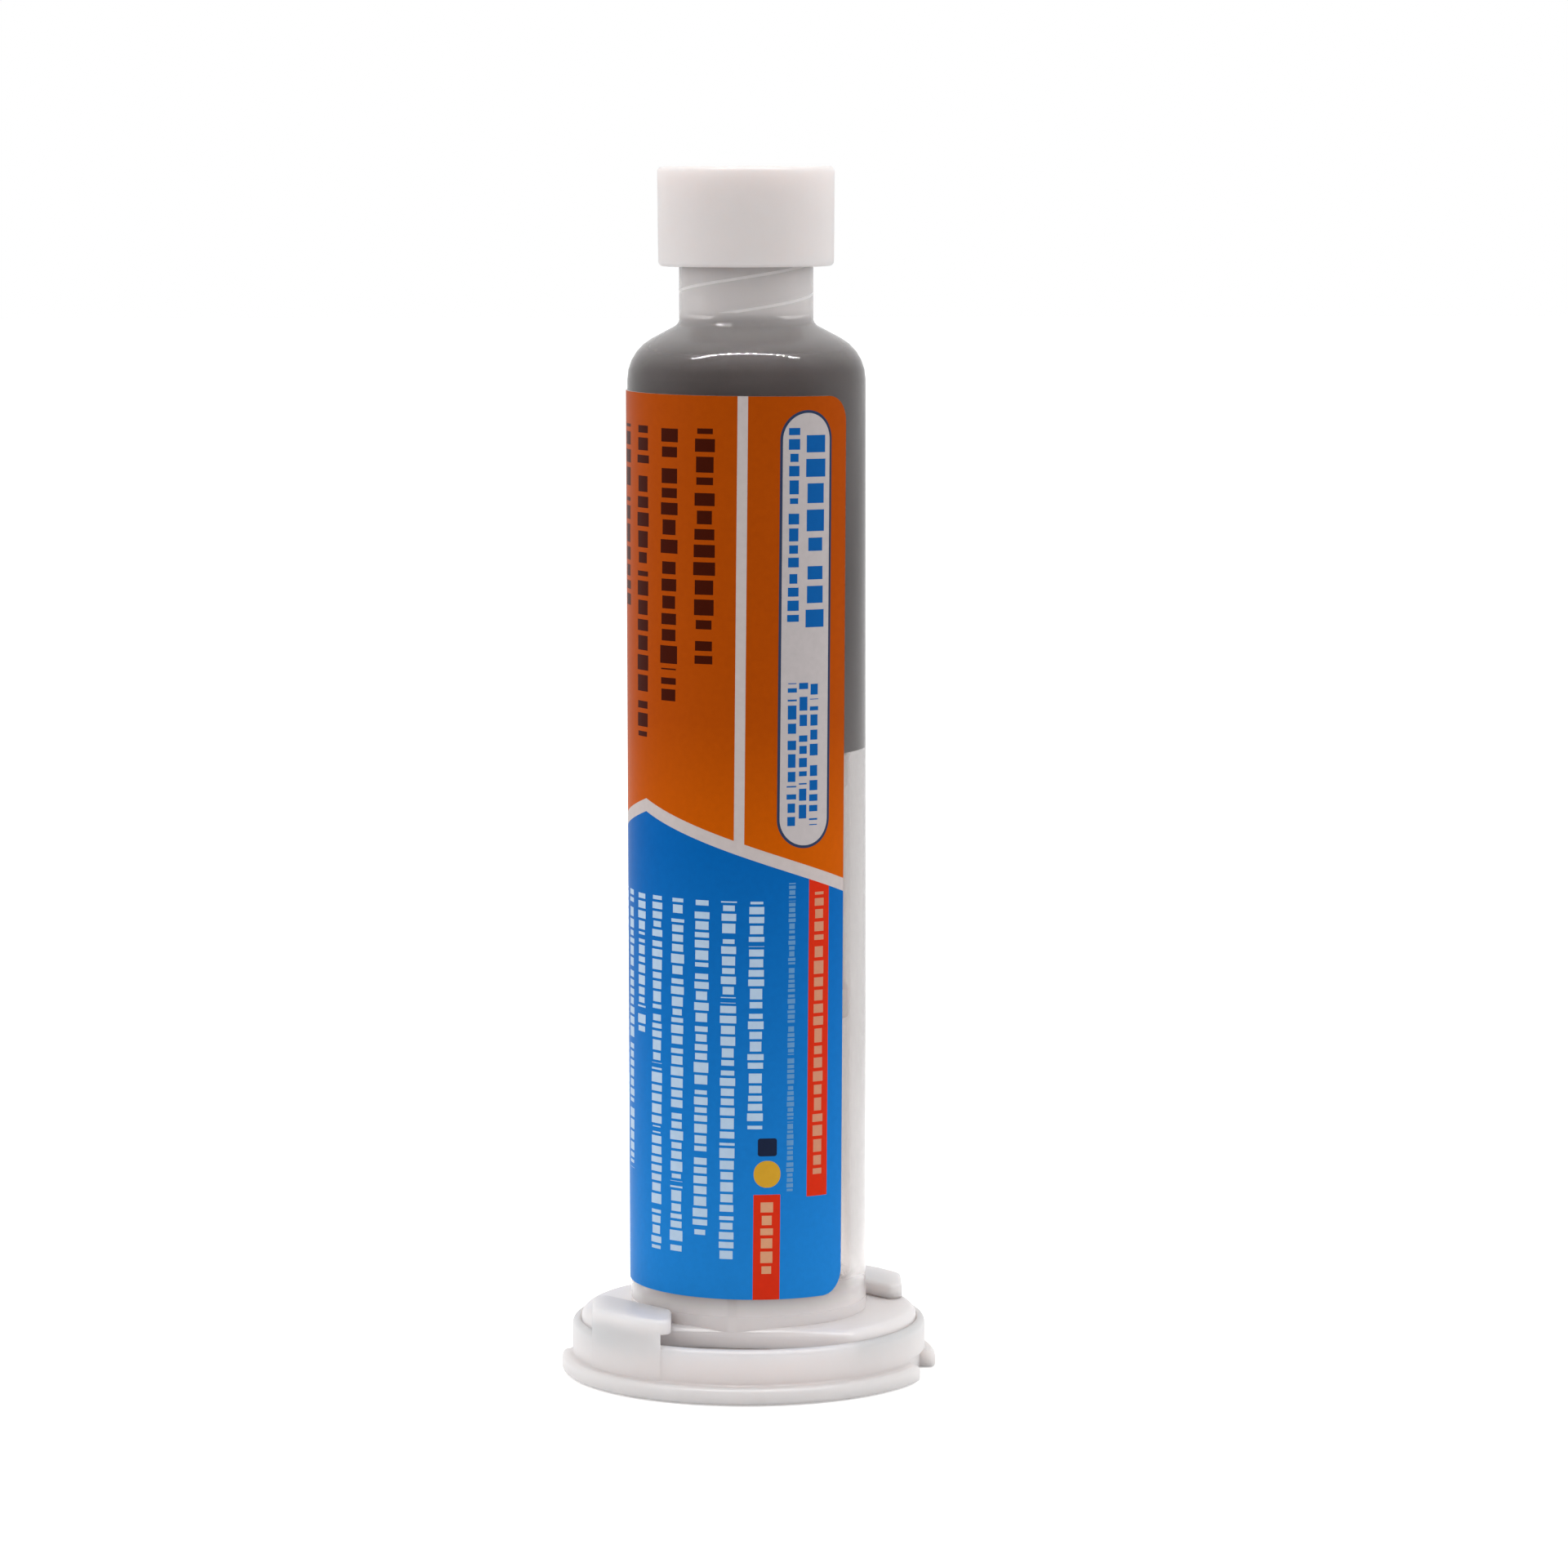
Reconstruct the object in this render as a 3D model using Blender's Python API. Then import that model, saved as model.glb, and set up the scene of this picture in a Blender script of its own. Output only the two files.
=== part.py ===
"""A 10 cc dispensing barrel filled with solder paste, standing on its end cap with the tip up.

Units are metres. The origin is the centre of the end cap's underside, +Z runs up the barrel's
axis to the tip cap, and -Y faces the viewer. Six pieces: barrel, tip_cap, end_cap, piston,
solder_paste and label.
"""

import math

import bmesh
import bpy

MM = 0.001

# Facets round every turned piece: pieces that nest share them, so their walls run parallel
FACETS = 60
FACET_STEP = 2 * math.pi / FACETS

# Barrel, a polypropylene moulding
BARREL_RADIUS = 9.25 * MM
BARREL_WALL = 1.3 * MM
BARREL_LENGTH = 74.5 * MM
SHOULDER_ANGLE = math.radians(28)
SHOULDER_RADIUS = 3.6 * MM
NECK_FILLET = 0.7 * MM

# Lock collar and nozzle at the barrel's outlet
COLLAR_RADIUS = 5.2 * MM
COLLAR_WALL = 1.2 * MM
COLLAR_HEIGHT = 7.4 * MM
COLLAR_EDGE = 0.25 * MM
NOZZLE_TIP_RADIUS = 1.985 * MM
NOZZLE_TAPER = 0.03
NOZZLE_REACH = 2.1 * MM
NOZZLE_BORE_RADIUS = 1.1 * MM

# Flange: two round ears with a flat between them on each side
EAR_REACH = 3.95 * MM
FLANGE_THICKNESS = 1.55 * MM
FLANGE_CORNER = 1.6 * MM
FLAT_MARGIN = 0.15 * MM
EAR_AZIMUTH = math.radians(-8)

# End cap: a foot disc, a platform under the flange, a plug in the bore and two clips
DISC_RIM = 0.85 * MM
DISC_THICKNESS = 1.3 * MM
DISC_EDGE = 0.45 * MM
PLATFORM_HEIGHT = 2.0 * MM
PLUG_HEIGHT = 4.2 * MM
PLUG_WALL = 1.2 * MM
PLUG_LEAD = 0.6 * MM
NOTCH_DEPTH = 1.25 * MM
NOTCH_START = math.radians(-25)
NOTCH_END = math.radians(-3)
CLIP_PROUD = 0.06 * MM
CLIP_WALL = 0.56 * MM
CLIP_WIDTH = 6.2 * MM
CLIP_SETBACK = 1.0 * MM
LIP_THICKNESS = 1.15 * MM
LIP_AZIMUTH = math.radians(42)

# Tip cap: an outer skirt over the collar, and a stem that seals on the nozzle
SKIRT_WALL = 1.42 * MM
CAP_DRAFT = 0.07 * MM
CAP_OVERLAP = 3.4 * MM
CAP_TOP_WALL = 1.3 * MM
CAP_EDGE = 0.4 * MM
THREAD_ROOM = 0.62 * MM
STEM_FLOOR_GAP = 1.0 * MM
SOCKET_LEAD = 0.5 * MM
CAP_HEADROOM = 0.9 * MM

# Piston: a flat-faced wiper with two sealing lips, hollow from behind
PASTE_COLUMN = 28.85 * MM
PISTON_LENGTH = 20.7 * MM
PISTON_WALL = 1.3 * MM
LIP_BAND = 2.4 * MM
WAIST_DEPTH = 0.35 * MM
FACE_EDGE = 0.4 * MM

# Label: a printed film round the barrel, open where the paste's level shows
LABEL_THICKNESS = 0.09 * MM
LABEL_TOP_MARGIN = 0.85 * MM
LABEL_BOTTOM_MARGIN = 2.15 * MM
LABEL_CORNER = 2.0 * MM
WINDOW_HALF_FACETS = 6

# Clearances between pieces
REST_PLAY = 0.05 * MM
WIPER_CLEARANCE = 0.05 * MM
PLUG_CLEARANCE = 0.08 * MM
COLLAR_CLEARANCE = 0.25 * MM
NOZZLE_CLEARANCE = 0.1 * MM
NOZZLE_HEADROOM = 0.3 * MM
EAR_CLEARANCE = 0.2 * MM
FILM_GAP = 0.02 * MM
PASTE_GAP = 0.1 * MM
PASTE_PISTON_GAP = 0.3 * MM

# Heights that follow from the sizes above
PLATFORM_TOP = DISC_THICKNESS + PLATFORM_HEIGHT
FLANGE_LOW = PLATFORM_TOP + REST_PLAY
FLANGE_TOP = FLANGE_LOW + FLANGE_THICKNESS
SHOULDER_LOW = FLANGE_LOW + BARREL_LENGTH
LIP_LOW = FLANGE_TOP + REST_PLAY
CLIP_TOP = LIP_LOW + LIP_THICKNESS
PISTON_FACE = SHOULDER_LOW - PASTE_COLUMN
PISTON_BACK = PISTON_FACE - PISTON_LENGTH

# Radii and distances from the axis that follow from the sizes above
BORE_RADIUS = BARREL_RADIUS - BARREL_WALL
COLLAR_BORE_RADIUS = COLLAR_RADIUS - COLLAR_WALL
CAP_RADIUS = COLLAR_RADIUS + COLLAR_CLEARANCE + SKIRT_WALL
FLAT_DISTANCE = BARREL_RADIUS + FLAT_MARGIN
FLANGE_RADIUS = BARREL_RADIUS + EAR_REACH
CLIP_RADIUS = FLANGE_RADIUS + EAR_CLEARANCE + CLIP_WALL
PLATFORM_RADIUS = CLIP_RADIUS - CLIP_PROUD
DISC_RADIUS = PLATFORM_RADIUS + DISC_RIM


def arc(centre_x, centre_y, radius, start, end, steps):
    """Points on a circle from the start angle to the end angle, both included."""
    angles = [start + (end - start) * i / steps for i in range(steps + 1)]
    return [(centre_x + radius * math.cos(a), centre_y + radius * math.sin(a)) for a in angles]


def turn_points(points, angle):
    """Plan points turned about the axis."""
    c, s = math.cos(angle), math.sin(angle)
    return [(x * c - y * s, x * s + y * c) for x, y in points]


def shoulder_arc(inset, steps=4):
    """The shoulder's rounded part, as (radius, height), this far inside the outer surface."""
    turn = math.pi / 2 - SHOULDER_ANGLE
    centre_radius = BARREL_RADIUS - SHOULDER_RADIUS
    return arc(centre_radius, SHOULDER_LOW, SHOULDER_RADIUS - inset, 0.0, turn, steps)


def cone_height(radius, inset):
    """Height of the shoulder's cone at a radius, this far inside the outer surface."""
    arc_radius, arc_height = shoulder_arc(inset)[-1]
    return arc_height + (arc_radius - radius) * math.tan(SHOULDER_ANGLE)


def neck_fillet(steps=3):
    """The hollow curve between the shoulder's cone and the collar, from the cone up."""
    centre_radius = COLLAR_RADIUS + NECK_FILLET
    cone_radius = centre_radius - NECK_FILLET * math.sin(SHOULDER_ANGLE)
    centre_height = cone_height(cone_radius, 0.0) + NECK_FILLET * math.cos(SHOULDER_ANGLE)
    start = 1.5 * math.pi - SHOULDER_ANGLE
    return arc(centre_radius, centre_height, NECK_FILLET, start, math.pi, steps)


COLLAR_FLOOR = cone_height(COLLAR_BORE_RADIUS, 0.0)
COLLAR_TOP = neck_fillet()[-1][1] + COLLAR_HEIGHT
NOZZLE_TOP = COLLAR_TOP + NOZZLE_REACH


def nozzle_radius(height):
    """Outside radius of the tapered nozzle at a height."""
    return NOZZLE_TIP_RADIUS + NOZZLE_TAPER * (NOZZLE_TOP - height)


def new_object(name, bm, seat=0.0):
    """An object from a bmesh, its faces turned outwards and its origin on the axis at the seat."""
    bmesh.ops.remove_doubles(bm, verts=bm.verts, dist=1e-7)
    bmesh.ops.recalc_face_normals(bm, faces=bm.faces)
    mesh = bpy.data.meshes.new(name)
    bm.to_mesh(mesh)
    bm.free()
    item = bpy.data.objects.new(name, mesh)
    item.location.z = seat
    bpy.context.collection.objects.link(item)
    return item


def turned(name, profile, seat=0.0, closed=True):
    """A round piece, spun from a (radius, height) profile; an open one starts and ends on the axis."""
    bm = bmesh.new()
    verts = [bm.verts.new((radius, 0.0, height - seat)) for radius, height in profile]
    pairs = list(zip(verts, verts[1:])) + ([(verts[-1], verts[0])] if closed else [])
    edges = [bm.edges.new(pair) for pair in pairs]
    bmesh.ops.spin(
        bm, geom=verts + edges, cent=(0, 0, 0), axis=(0, 0, 1), angle=2 * math.pi, steps=FACETS
    )
    return new_object(name, bm, seat)


def plate(name, outline, low, high):
    """A flat plate with this outline, between two heights."""
    bm = bmesh.new()
    face = bm.faces.new([bm.verts.new((x, y, low)) for x, y in outline])
    raised = bmesh.ops.extrude_face_region(bm, geom=[face])
    tops = [item for item in raised["geom"] if isinstance(item, bmesh.types.BMVert)]
    bmesh.ops.translate(bm, verts=tops, vec=(0, 0, high - low))
    return new_object(name, bm)


def combine(target, tool, operation):
    """Join a second shape to a piece, or cut it away, and keep the tool as a hidden guide."""
    modifier = target.modifiers.new(tool.name, "BOOLEAN")
    modifier.operation = operation
    modifier.solver = "EXACT"
    modifier.object = tool
    tool.hide_render = True
    tool.display_type = "WIRE"
    tool.parent = target
    tool.matrix_parent_inverse = target.matrix_basis.inverted()


def shade(item, degrees=30):
    """Smooth shading, sharp at edges over this angle."""
    item.data.shade_smooth()
    item.data.set_sharp_from_angle(angle=math.radians(degrees))


def plastic(name, colour, roughness, alpha=1.0):
    """A moulded plastic with its colour, gloss and how much shows through."""
    material = bpy.data.materials.new(name)
    material.use_nodes = True
    shader = material.node_tree.nodes["Principled BSDF"]
    shader.inputs["Base Color"].default_value = (*colour, 1.0)
    shader.inputs["Roughness"].default_value = roughness
    shader.inputs["Metallic"].default_value = 0.0
    shader.inputs["Alpha"].default_value = alpha
    return material


def flange_outline():
    """Two ears joined by two flats with rounded corners, the ears along X before the turn."""
    centre_y = FLAT_DISTANCE - FLANGE_CORNER
    centre_x = math.sqrt((FLANGE_RADIUS - FLANGE_CORNER) ** 2 - centre_y**2)
    turn = math.atan2(centre_y, centre_x)
    ear = arc(0.0, 0.0, FLANGE_RADIUS, -turn, turn, 16)
    corner = arc(centre_x, centre_y, FLANGE_CORNER, turn, math.pi / 2, 4)
    far_corner = [(-x, y) for x, y in reversed(corner)]
    half = ear + corner[1:] + far_corner[:-1]
    return turn_points(half + [(-x, -y) for x, y in half], EAR_AZIMUTH)


def make_barrel():
    """The barrel: open at the flange, a rounded shoulder, then the collar round the nozzle."""
    outside = [(BARREL_RADIUS, FLANGE_LOW)] + shoulder_arc(0.0, 6) + neck_fillet()
    collar_rim = arc(
        COLLAR_RADIUS - COLLAR_EDGE, COLLAR_TOP - COLLAR_EDGE, COLLAR_EDGE, 0, math.pi / 2, 2
    )
    collar_inside = [(COLLAR_BORE_RADIUS, COLLAR_TOP), (COLLAR_BORE_RADIUS, COLLAR_FLOOR)]
    nozzle = [(nozzle_radius(COLLAR_FLOOR), COLLAR_FLOOR), (NOZZLE_TIP_RADIUS, NOZZLE_TOP)]
    nozzle_bore = [
        (NOZZLE_BORE_RADIUS, NOZZLE_TOP),
        (NOZZLE_BORE_RADIUS, cone_height(NOZZLE_BORE_RADIUS, BARREL_WALL)),
    ]
    inside = list(reversed(shoulder_arc(BARREL_WALL))) + [(BORE_RADIUS, FLANGE_LOW)]
    profile = outside + collar_rim + collar_inside + nozzle + nozzle_bore + inside
    barrel = turned("barrel", profile)

    mid_wall = BARREL_RADIUS - BARREL_WALL / 2
    flange = plate("flange_ears", flange_outline(), FLANGE_LOW, FLANGE_TOP)
    hole = turned(
        "flange_hole",
        [(0, -FLANGE_TOP), (mid_wall, -FLANGE_TOP), (mid_wall, 2 * FLANGE_TOP), (0, 2 * FLANGE_TOP)],
        closed=False,
    )
    combine(flange, hole, "DIFFERENCE")
    combine(barrel, flange, "UNION")
    barrel.data.materials.append(plastic("clear_polypropylene", (0.80, 0.78, 0.77), 0.22, 0.45))
    shade(barrel)
    return barrel


def clip_outline():
    """Plan of one clip: two parallel sides, a straight inner edge by the barrel, a round outside."""
    edge = FLAT_DISTANCE + REST_PLAY
    far_x = FLANGE_RADIUS - CLIP_SETBACK
    near_x = far_x - CLIP_WIDTH
    c, s = math.cos(LIP_AZIMUTH), math.sin(LIP_AZIMUTH)
    inner_edge = [(x, (edge - x * c) / s) for x in (near_x, far_x)]
    start, end = math.acos(far_x / CLIP_RADIUS), math.acos(near_x / CLIP_RADIUS)
    return inner_edge + arc(0.0, 0.0, CLIP_RADIUS, start, end, 6)


def make_clip(index, flange_pocket):
    """One of the two clips whose lips reach over the flange's ears."""
    outline = turn_points(clip_outline(), math.pi * index)
    clip = plate(f"clip_{index + 1}", outline, DISC_THICKNESS / 2, CLIP_TOP)
    combine(clip, flange_pocket, "DIFFERENCE")
    return clip


def notch_outline(index):
    """Plan of one finger notch in the foot disc's rim."""
    depth_radius = DISC_RADIUS - NOTCH_DEPTH
    inner = arc(0.0, 0.0, depth_radius, NOTCH_START, NOTCH_END, 4)
    outer = arc(0.0, 0.0, DISC_RADIUS + NOTCH_DEPTH, NOTCH_END, NOTCH_START, 4)
    return turn_points(inner + outer, math.pi * index)


def make_end_cap():
    """The end cap: foot disc, platform, hollow plug, two clips and two finger notches."""
    plug_radius = BORE_RADIUS - PLUG_CLEARANCE
    plug_inside = plug_radius - PLUG_WALL
    plug_top = PLATFORM_TOP + PLUG_HEIGHT
    disc_rim = arc(
        DISC_RADIUS - DISC_EDGE, DISC_THICKNESS - DISC_EDGE, DISC_EDGE, 0.0, math.pi / 2, 3
    )
    profile = [
        (0.0, plug_top - PLUG_WALL),
        (plug_inside, plug_top - PLUG_WALL),
        (plug_inside, 0.0),
        (DISC_RADIUS, 0.0),
        *disc_rim,
        (PLATFORM_RADIUS, DISC_THICKNESS),
        (PLATFORM_RADIUS, PLATFORM_TOP),
        (plug_radius, PLATFORM_TOP),
        (plug_radius, plug_top - PLUG_LEAD),
        (plug_radius - PLUG_LEAD / 2, plug_top),
        (0.0, plug_top),
    ]
    end_cap = turned("end_cap", profile, closed=False)

    pocket_radius = FLANGE_RADIUS + EAR_CLEARANCE
    pocket = turned(
        "flange_pocket",
        [(0, -CLIP_TOP), (pocket_radius, -CLIP_TOP), (pocket_radius, LIP_LOW), (0, LIP_LOW)],
        closed=False,
    )
    for index in range(2):
        combine(end_cap, make_clip(index, pocket), "UNION")
    for index in range(2):
        notch = plate(f"notch_{index + 1}", notch_outline(index), -DISC_THICKNESS, FLANGE_LOW)
        combine(end_cap, notch, "DIFFERENCE")
    end_cap.data.materials.append(plastic("milky_polypropylene", (0.82, 0.79, 0.78), 0.35, 0.75))
    shade(end_cap)
    return end_cap


def make_tip_cap():
    """The tip cap: a smooth skirt over the collar and a stem whose socket seals on the nozzle."""
    mouth = COLLAR_TOP - CAP_OVERLAP
    ceiling = NOZZLE_TOP + CAP_HEADROOM
    top = ceiling + CAP_TOP_WALL
    socket_top = NOZZLE_TOP + NOZZLE_HEADROOM
    stem_low = COLLAR_FLOOR + STEM_FLOOR_GAP
    skirt_inside = COLLAR_RADIUS + COLLAR_CLEARANCE
    socket_radius = NOZZLE_TIP_RADIUS + NOZZLE_CLEARANCE
    socket_mouth = nozzle_radius(stem_low) + NOZZLE_CLEARANCE
    stem_radius = COLLAR_BORE_RADIUS - THREAD_ROOM
    top_rim = arc(CAP_RADIUS - CAP_EDGE, top - CAP_EDGE, CAP_EDGE, 0.0, math.pi / 2, 3)
    mouth_rim = arc(
        CAP_RADIUS - CAP_DRAFT - CAP_EDGE, mouth + CAP_EDGE, CAP_EDGE, -math.pi / 2, 0.0, 2
    )
    profile = [
        (0.0, socket_top),
        (socket_radius, socket_top),
        (socket_mouth, stem_low + SOCKET_LEAD),
        (socket_mouth + SOCKET_LEAD / 2, stem_low),
        (stem_radius - SOCKET_LEAD / 3, stem_low),
        (stem_radius, stem_low + SOCKET_LEAD),
        (stem_radius, ceiling),
        (skirt_inside, ceiling),
        (skirt_inside, mouth),
        *mouth_rim,
        *top_rim,
        (0.0, top),
    ]
    tip_cap = turned("tip_cap", profile, seat=mouth, closed=False)
    tip_cap.data.materials.append(plastic("milky_polypropylene_cap", (0.80, 0.77, 0.77), 0.38, 0.8))
    shade(tip_cap)
    return tip_cap


def make_piston():
    """The piston: a flat face, sealing lips at both ends and a shallow waist between them."""
    seal_radius = BORE_RADIUS - WIPER_CLEARANCE
    waist_radius = seal_radius - WAIST_DEPTH
    hollow_radius = waist_radius - PISTON_WALL
    hollow_top = PISTON_FACE - PISTON_WALL
    profile = [
        (0.0, hollow_top),
        (hollow_radius - FACE_EDGE, hollow_top),
        (hollow_radius, hollow_top - FACE_EDGE),
        (hollow_radius, PISTON_BACK),
        (seal_radius, PISTON_BACK),
        (seal_radius, PISTON_BACK + LIP_BAND),
        (waist_radius, PISTON_BACK + LIP_BAND + WAIST_DEPTH),
        (waist_radius, PISTON_FACE - LIP_BAND - WAIST_DEPTH),
        (seal_radius, PISTON_FACE - LIP_BAND),
        *arc(seal_radius - FACE_EDGE, PISTON_FACE - FACE_EDGE, FACE_EDGE, 0.0, math.pi / 2, 2),
        (0.0, PISTON_FACE),
    ]
    piston = turned("piston", profile, seat=PISTON_BACK, closed=False)
    piston.data.materials.append(plastic("white_polyethylene", (0.78, 0.75, 0.72), 0.5))
    shade(piston)
    return piston


def make_solder_paste():
    """The paste that fills the bore from the piston's face to the nozzle's mouth."""
    inset = BARREL_WALL + PASTE_GAP
    thread_radius = NOZZLE_BORE_RADIUS - PASTE_GAP
    profile = [
        (0.0, PISTON_FACE + PASTE_PISTON_GAP),
        (BARREL_RADIUS - inset, PISTON_FACE + PASTE_PISTON_GAP),
        *shoulder_arc(inset),
        (thread_radius, cone_height(thread_radius, inset)),
        (thread_radius, NOZZLE_TOP - PASTE_GAP),
        (0.0, NOZZLE_TOP - PASTE_GAP),
    ]
    paste = turned("solder_paste", profile, closed=False)
    paste.data.materials.append(plastic("solder_paste_grey", (0.22, 0.19, 0.19), 0.45))
    shade(paste)
    return paste


def label_edge_rise(distance):
    """How far a rounded corner lifts the label's edge at this distance from its end."""
    inside = max(0.0, LABEL_CORNER - distance)
    return LABEL_CORNER - math.sqrt(LABEL_CORNER**2 - inside**2)


def make_label():
    """The printed film: one strip of facets bent round the barrel, with rounded corners."""
    inner = BARREL_RADIUS + FILM_GAP
    outer = inner + LABEL_THICKNESS
    low = FLANGE_TOP + LABEL_BOTTOM_MARGIN
    high = SHOULDER_LOW - LABEL_TOP_MARGIN
    last = FACETS - 2 * WINDOW_HALF_FACETS
    bm = bmesh.new()
    columns = []
    for i in range(last + 1):
        azimuth = (WINDOW_HALF_FACETS + i) * FACET_STEP
        rise = label_edge_rise(min(i, last - i) * FACET_STEP * outer)
        corners = [(inner, low + rise), (outer, low + rise), (outer, high - rise), (inner, high - rise)]
        c, s = math.cos(azimuth), math.sin(azimuth)
        columns.append([bm.verts.new((radius * c, radius * s, z)) for radius, z in corners])
    for here, there in zip(columns, columns[1:]):
        for k in range(4):
            bm.faces.new((here[k], there[k], there[(k + 1) % 4], here[(k + 1) % 4]))
    bm.faces.new(columns[0])
    bm.faces.new(reversed(columns[-1]))
    label = new_object("label", bm)
    label.data.materials.append(plastic("printed_film", (0.75, 0.30, 0.05), 0.3))
    shade(label)
    return label


def main():
    """Clear the scene and make the six pieces."""
    for item in list(bpy.data.objects):
        bpy.data.objects.remove(item, do_unlink=True)
    make_barrel()
    make_end_cap()
    make_tip_cap()
    make_piston()
    make_solder_paste()
    make_label()


main()
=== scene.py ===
# %% [markdown]
# # A solder paste syringe, dressed in Blender
# The real object is a 10 cc dispensing barrel that a machine or a hand holder empties from behind.
# It stands upside down on its end cap, so the capped nozzle points up. Six pieces make it: a clear
# barrel, a milky tip cap, a milky end cap, a white piston, the grey paste and a printed film label.
# The engineering model gives each piece's place and every motion. This file models the same pieces
# finely enough to be looked at closely, and gives each one its material.

# %% Load the engineering model
import math

import bmesh
import bpy
from mathutils import Matrix, Vector


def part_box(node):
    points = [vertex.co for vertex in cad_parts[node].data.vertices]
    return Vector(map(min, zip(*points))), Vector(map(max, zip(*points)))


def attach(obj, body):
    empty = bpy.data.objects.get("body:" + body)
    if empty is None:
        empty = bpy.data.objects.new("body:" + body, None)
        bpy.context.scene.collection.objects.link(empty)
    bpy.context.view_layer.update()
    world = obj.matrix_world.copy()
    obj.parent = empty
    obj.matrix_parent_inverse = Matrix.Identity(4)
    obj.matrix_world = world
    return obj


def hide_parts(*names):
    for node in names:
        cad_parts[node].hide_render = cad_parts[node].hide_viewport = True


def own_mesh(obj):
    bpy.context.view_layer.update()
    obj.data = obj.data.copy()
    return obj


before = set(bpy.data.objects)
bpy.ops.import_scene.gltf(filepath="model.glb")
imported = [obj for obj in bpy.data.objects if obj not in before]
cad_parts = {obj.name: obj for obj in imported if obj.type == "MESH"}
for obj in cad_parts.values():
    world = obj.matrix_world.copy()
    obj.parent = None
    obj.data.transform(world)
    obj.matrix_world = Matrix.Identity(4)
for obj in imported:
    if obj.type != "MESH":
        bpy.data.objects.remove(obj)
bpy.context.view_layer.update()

MM = 0.001

# %% [markdown]
# ## Sizes
# Heights and radii come from the engineering model's own boxes where a box gives them, because then
# both models change together. What a box can't show, such as a wall or a fillet, is named here.

# %% Sizes taken from the engineering model
BARREL_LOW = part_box("barrel")[0].z
NOZZLE_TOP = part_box("barrel")[1].z
STEM_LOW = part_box("tip_cap")[0].z
CAP_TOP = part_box("tip_cap")[1].z
CAP_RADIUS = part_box("tip_cap")[1].x
PLUG_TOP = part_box("end_cap")[1].z
PISTON_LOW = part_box("piston")[0].z
PISTON_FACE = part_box("piston")[1].z
SEAL_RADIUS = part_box("piston")[1].x
LABEL_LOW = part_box("label")[0].z
LABEL_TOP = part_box("label")[1].z

WALL = 1.3 * MM
BARREL_RADIUS = 9.25 * MM
BORE_RADIUS = BARREL_RADIUS - WALL
BARREL_LENGTH = 74.5 * MM
SHOULDER_LOW = BARREL_LOW + BARREL_LENGTH
SHOULDER_RADIUS = 3.6 * MM
SHOULDER_SLOPE = math.tan(math.radians(28))

# %% [markdown]
# ## Tools for modelling
# Most of this object was shaped on a lathe-like mould: its pieces are round. A profile is drawn by
# extruding one vertex from corner to corner, and then spun round the axis, which is how a turner
# thinks. Flat pieces are a disc with straight cuts, pulled up to their thickness. A few short
# helpers hold these habits, so that each piece below reads as its own list of sizes.

# %% Profiles with rounded corners
ARC_STEP = math.radians(15)


def rounded(corners):
    """A profile from (radius, height, fillet) corners, each fillet drawn as an arc."""
    points = []
    for i, (x, y, fillet) in enumerate(corners):
        corner = Vector((x, y))
        if not fillet:
            points.append(corner)
            continue
        back = (Vector(corners[i - 1][:2]) - corner).normalized()
        ahead = (Vector(corners[(i + 1) % len(corners)][:2]) - corner).normalized()
        half = back.angle(ahead) / 2
        centre = corner + (back + ahead).normalized() * fillet / math.sin(half)
        first = corner + back * fillet / math.tan(half) - centre
        last = corner + ahead * fillet / math.tan(half) - centre
        start = math.atan2(first.y, first.x)
        sweep = (math.atan2(last.y, last.x) - start + math.pi) % math.tau - math.pi
        steps = max(2, math.ceil(abs(sweep) / ARC_STEP))
        for k in range(steps + 1):
            angle = start + sweep * k / steps
            points.append(centre + Vector((math.cos(angle), math.sin(angle))) * fillet)
    return points


square = [(0, 0, 0), (2, 0, 0), (2, 2, 1), (0, 2, 0)]
print("a square with one round corner has", len(rounded(square)), "points")

# %% [markdown]
# Edit mode works on what is selected, and an imported model stays selected, so every helper first
# clears the selection. Vertices, edges and faces are then picked by a test on their place.

# %% Selecting, finishing and reporting
MERGE_DISTANCE = 0.0005 * MM
SMOOTH_ANGLE = math.radians(32)


def deselect():
    """Leave edit mode and deselect every object."""
    if bpy.context.object and bpy.context.object.mode != "OBJECT":
        bpy.ops.object.mode_set(mode="OBJECT")
    bpy.ops.object.select_all(action="DESELECT")


def edit(piece):
    """Make a piece the only selected one and enter its edit mode."""
    deselect()
    piece.select_set(True)
    bpy.context.view_layer.objects.active = piece
    bpy.ops.object.mode_set(mode="EDIT")


def pick(kind, test):
    """Select the vertices, edges or faces of the edited mesh that pass a test, and count them."""
    bpy.ops.mesh.select_mode(type=kind)
    bpy.ops.mesh.select_all(action="DESELECT")
    mesh = bmesh.from_edit_mesh(bpy.context.object.data)
    items = {"VERT": mesh.verts, "EDGE": mesh.edges, "FACE": mesh.faces}[kind]
    found = [item for item in items if test(item)]
    for item in found:
        item.select_set(True)
    mesh.select_flush_mode()
    bmesh.update_edit_mesh(bpy.context.object.data)
    return len(found)


def finish_mesh(piece):
    """Merge doubles, turn the normals outwards and shade smooth up to an angle."""
    edit(piece)
    bpy.ops.mesh.select_all(action="SELECT")
    bpy.ops.mesh.remove_doubles(threshold=MERGE_DISTANCE)
    bpy.ops.mesh.normals_make_consistent(inside=False)
    bpy.ops.object.mode_set(mode="OBJECT")
    bpy.ops.object.shade_smooth_by_angle(angle=SMOOTH_ANGLE)
    places = [vert.co for vert in piece.data.vertices]
    low, high = [[round(end(p[i] for p in places) / MM, 2) for i in range(3)] for end in (min, max)]
    piece.data.calc_loop_triangles()
    print(f"{piece.name}: {len(piece.data.loop_triangles)} triangles, from {low} to {high} mm")


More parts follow.
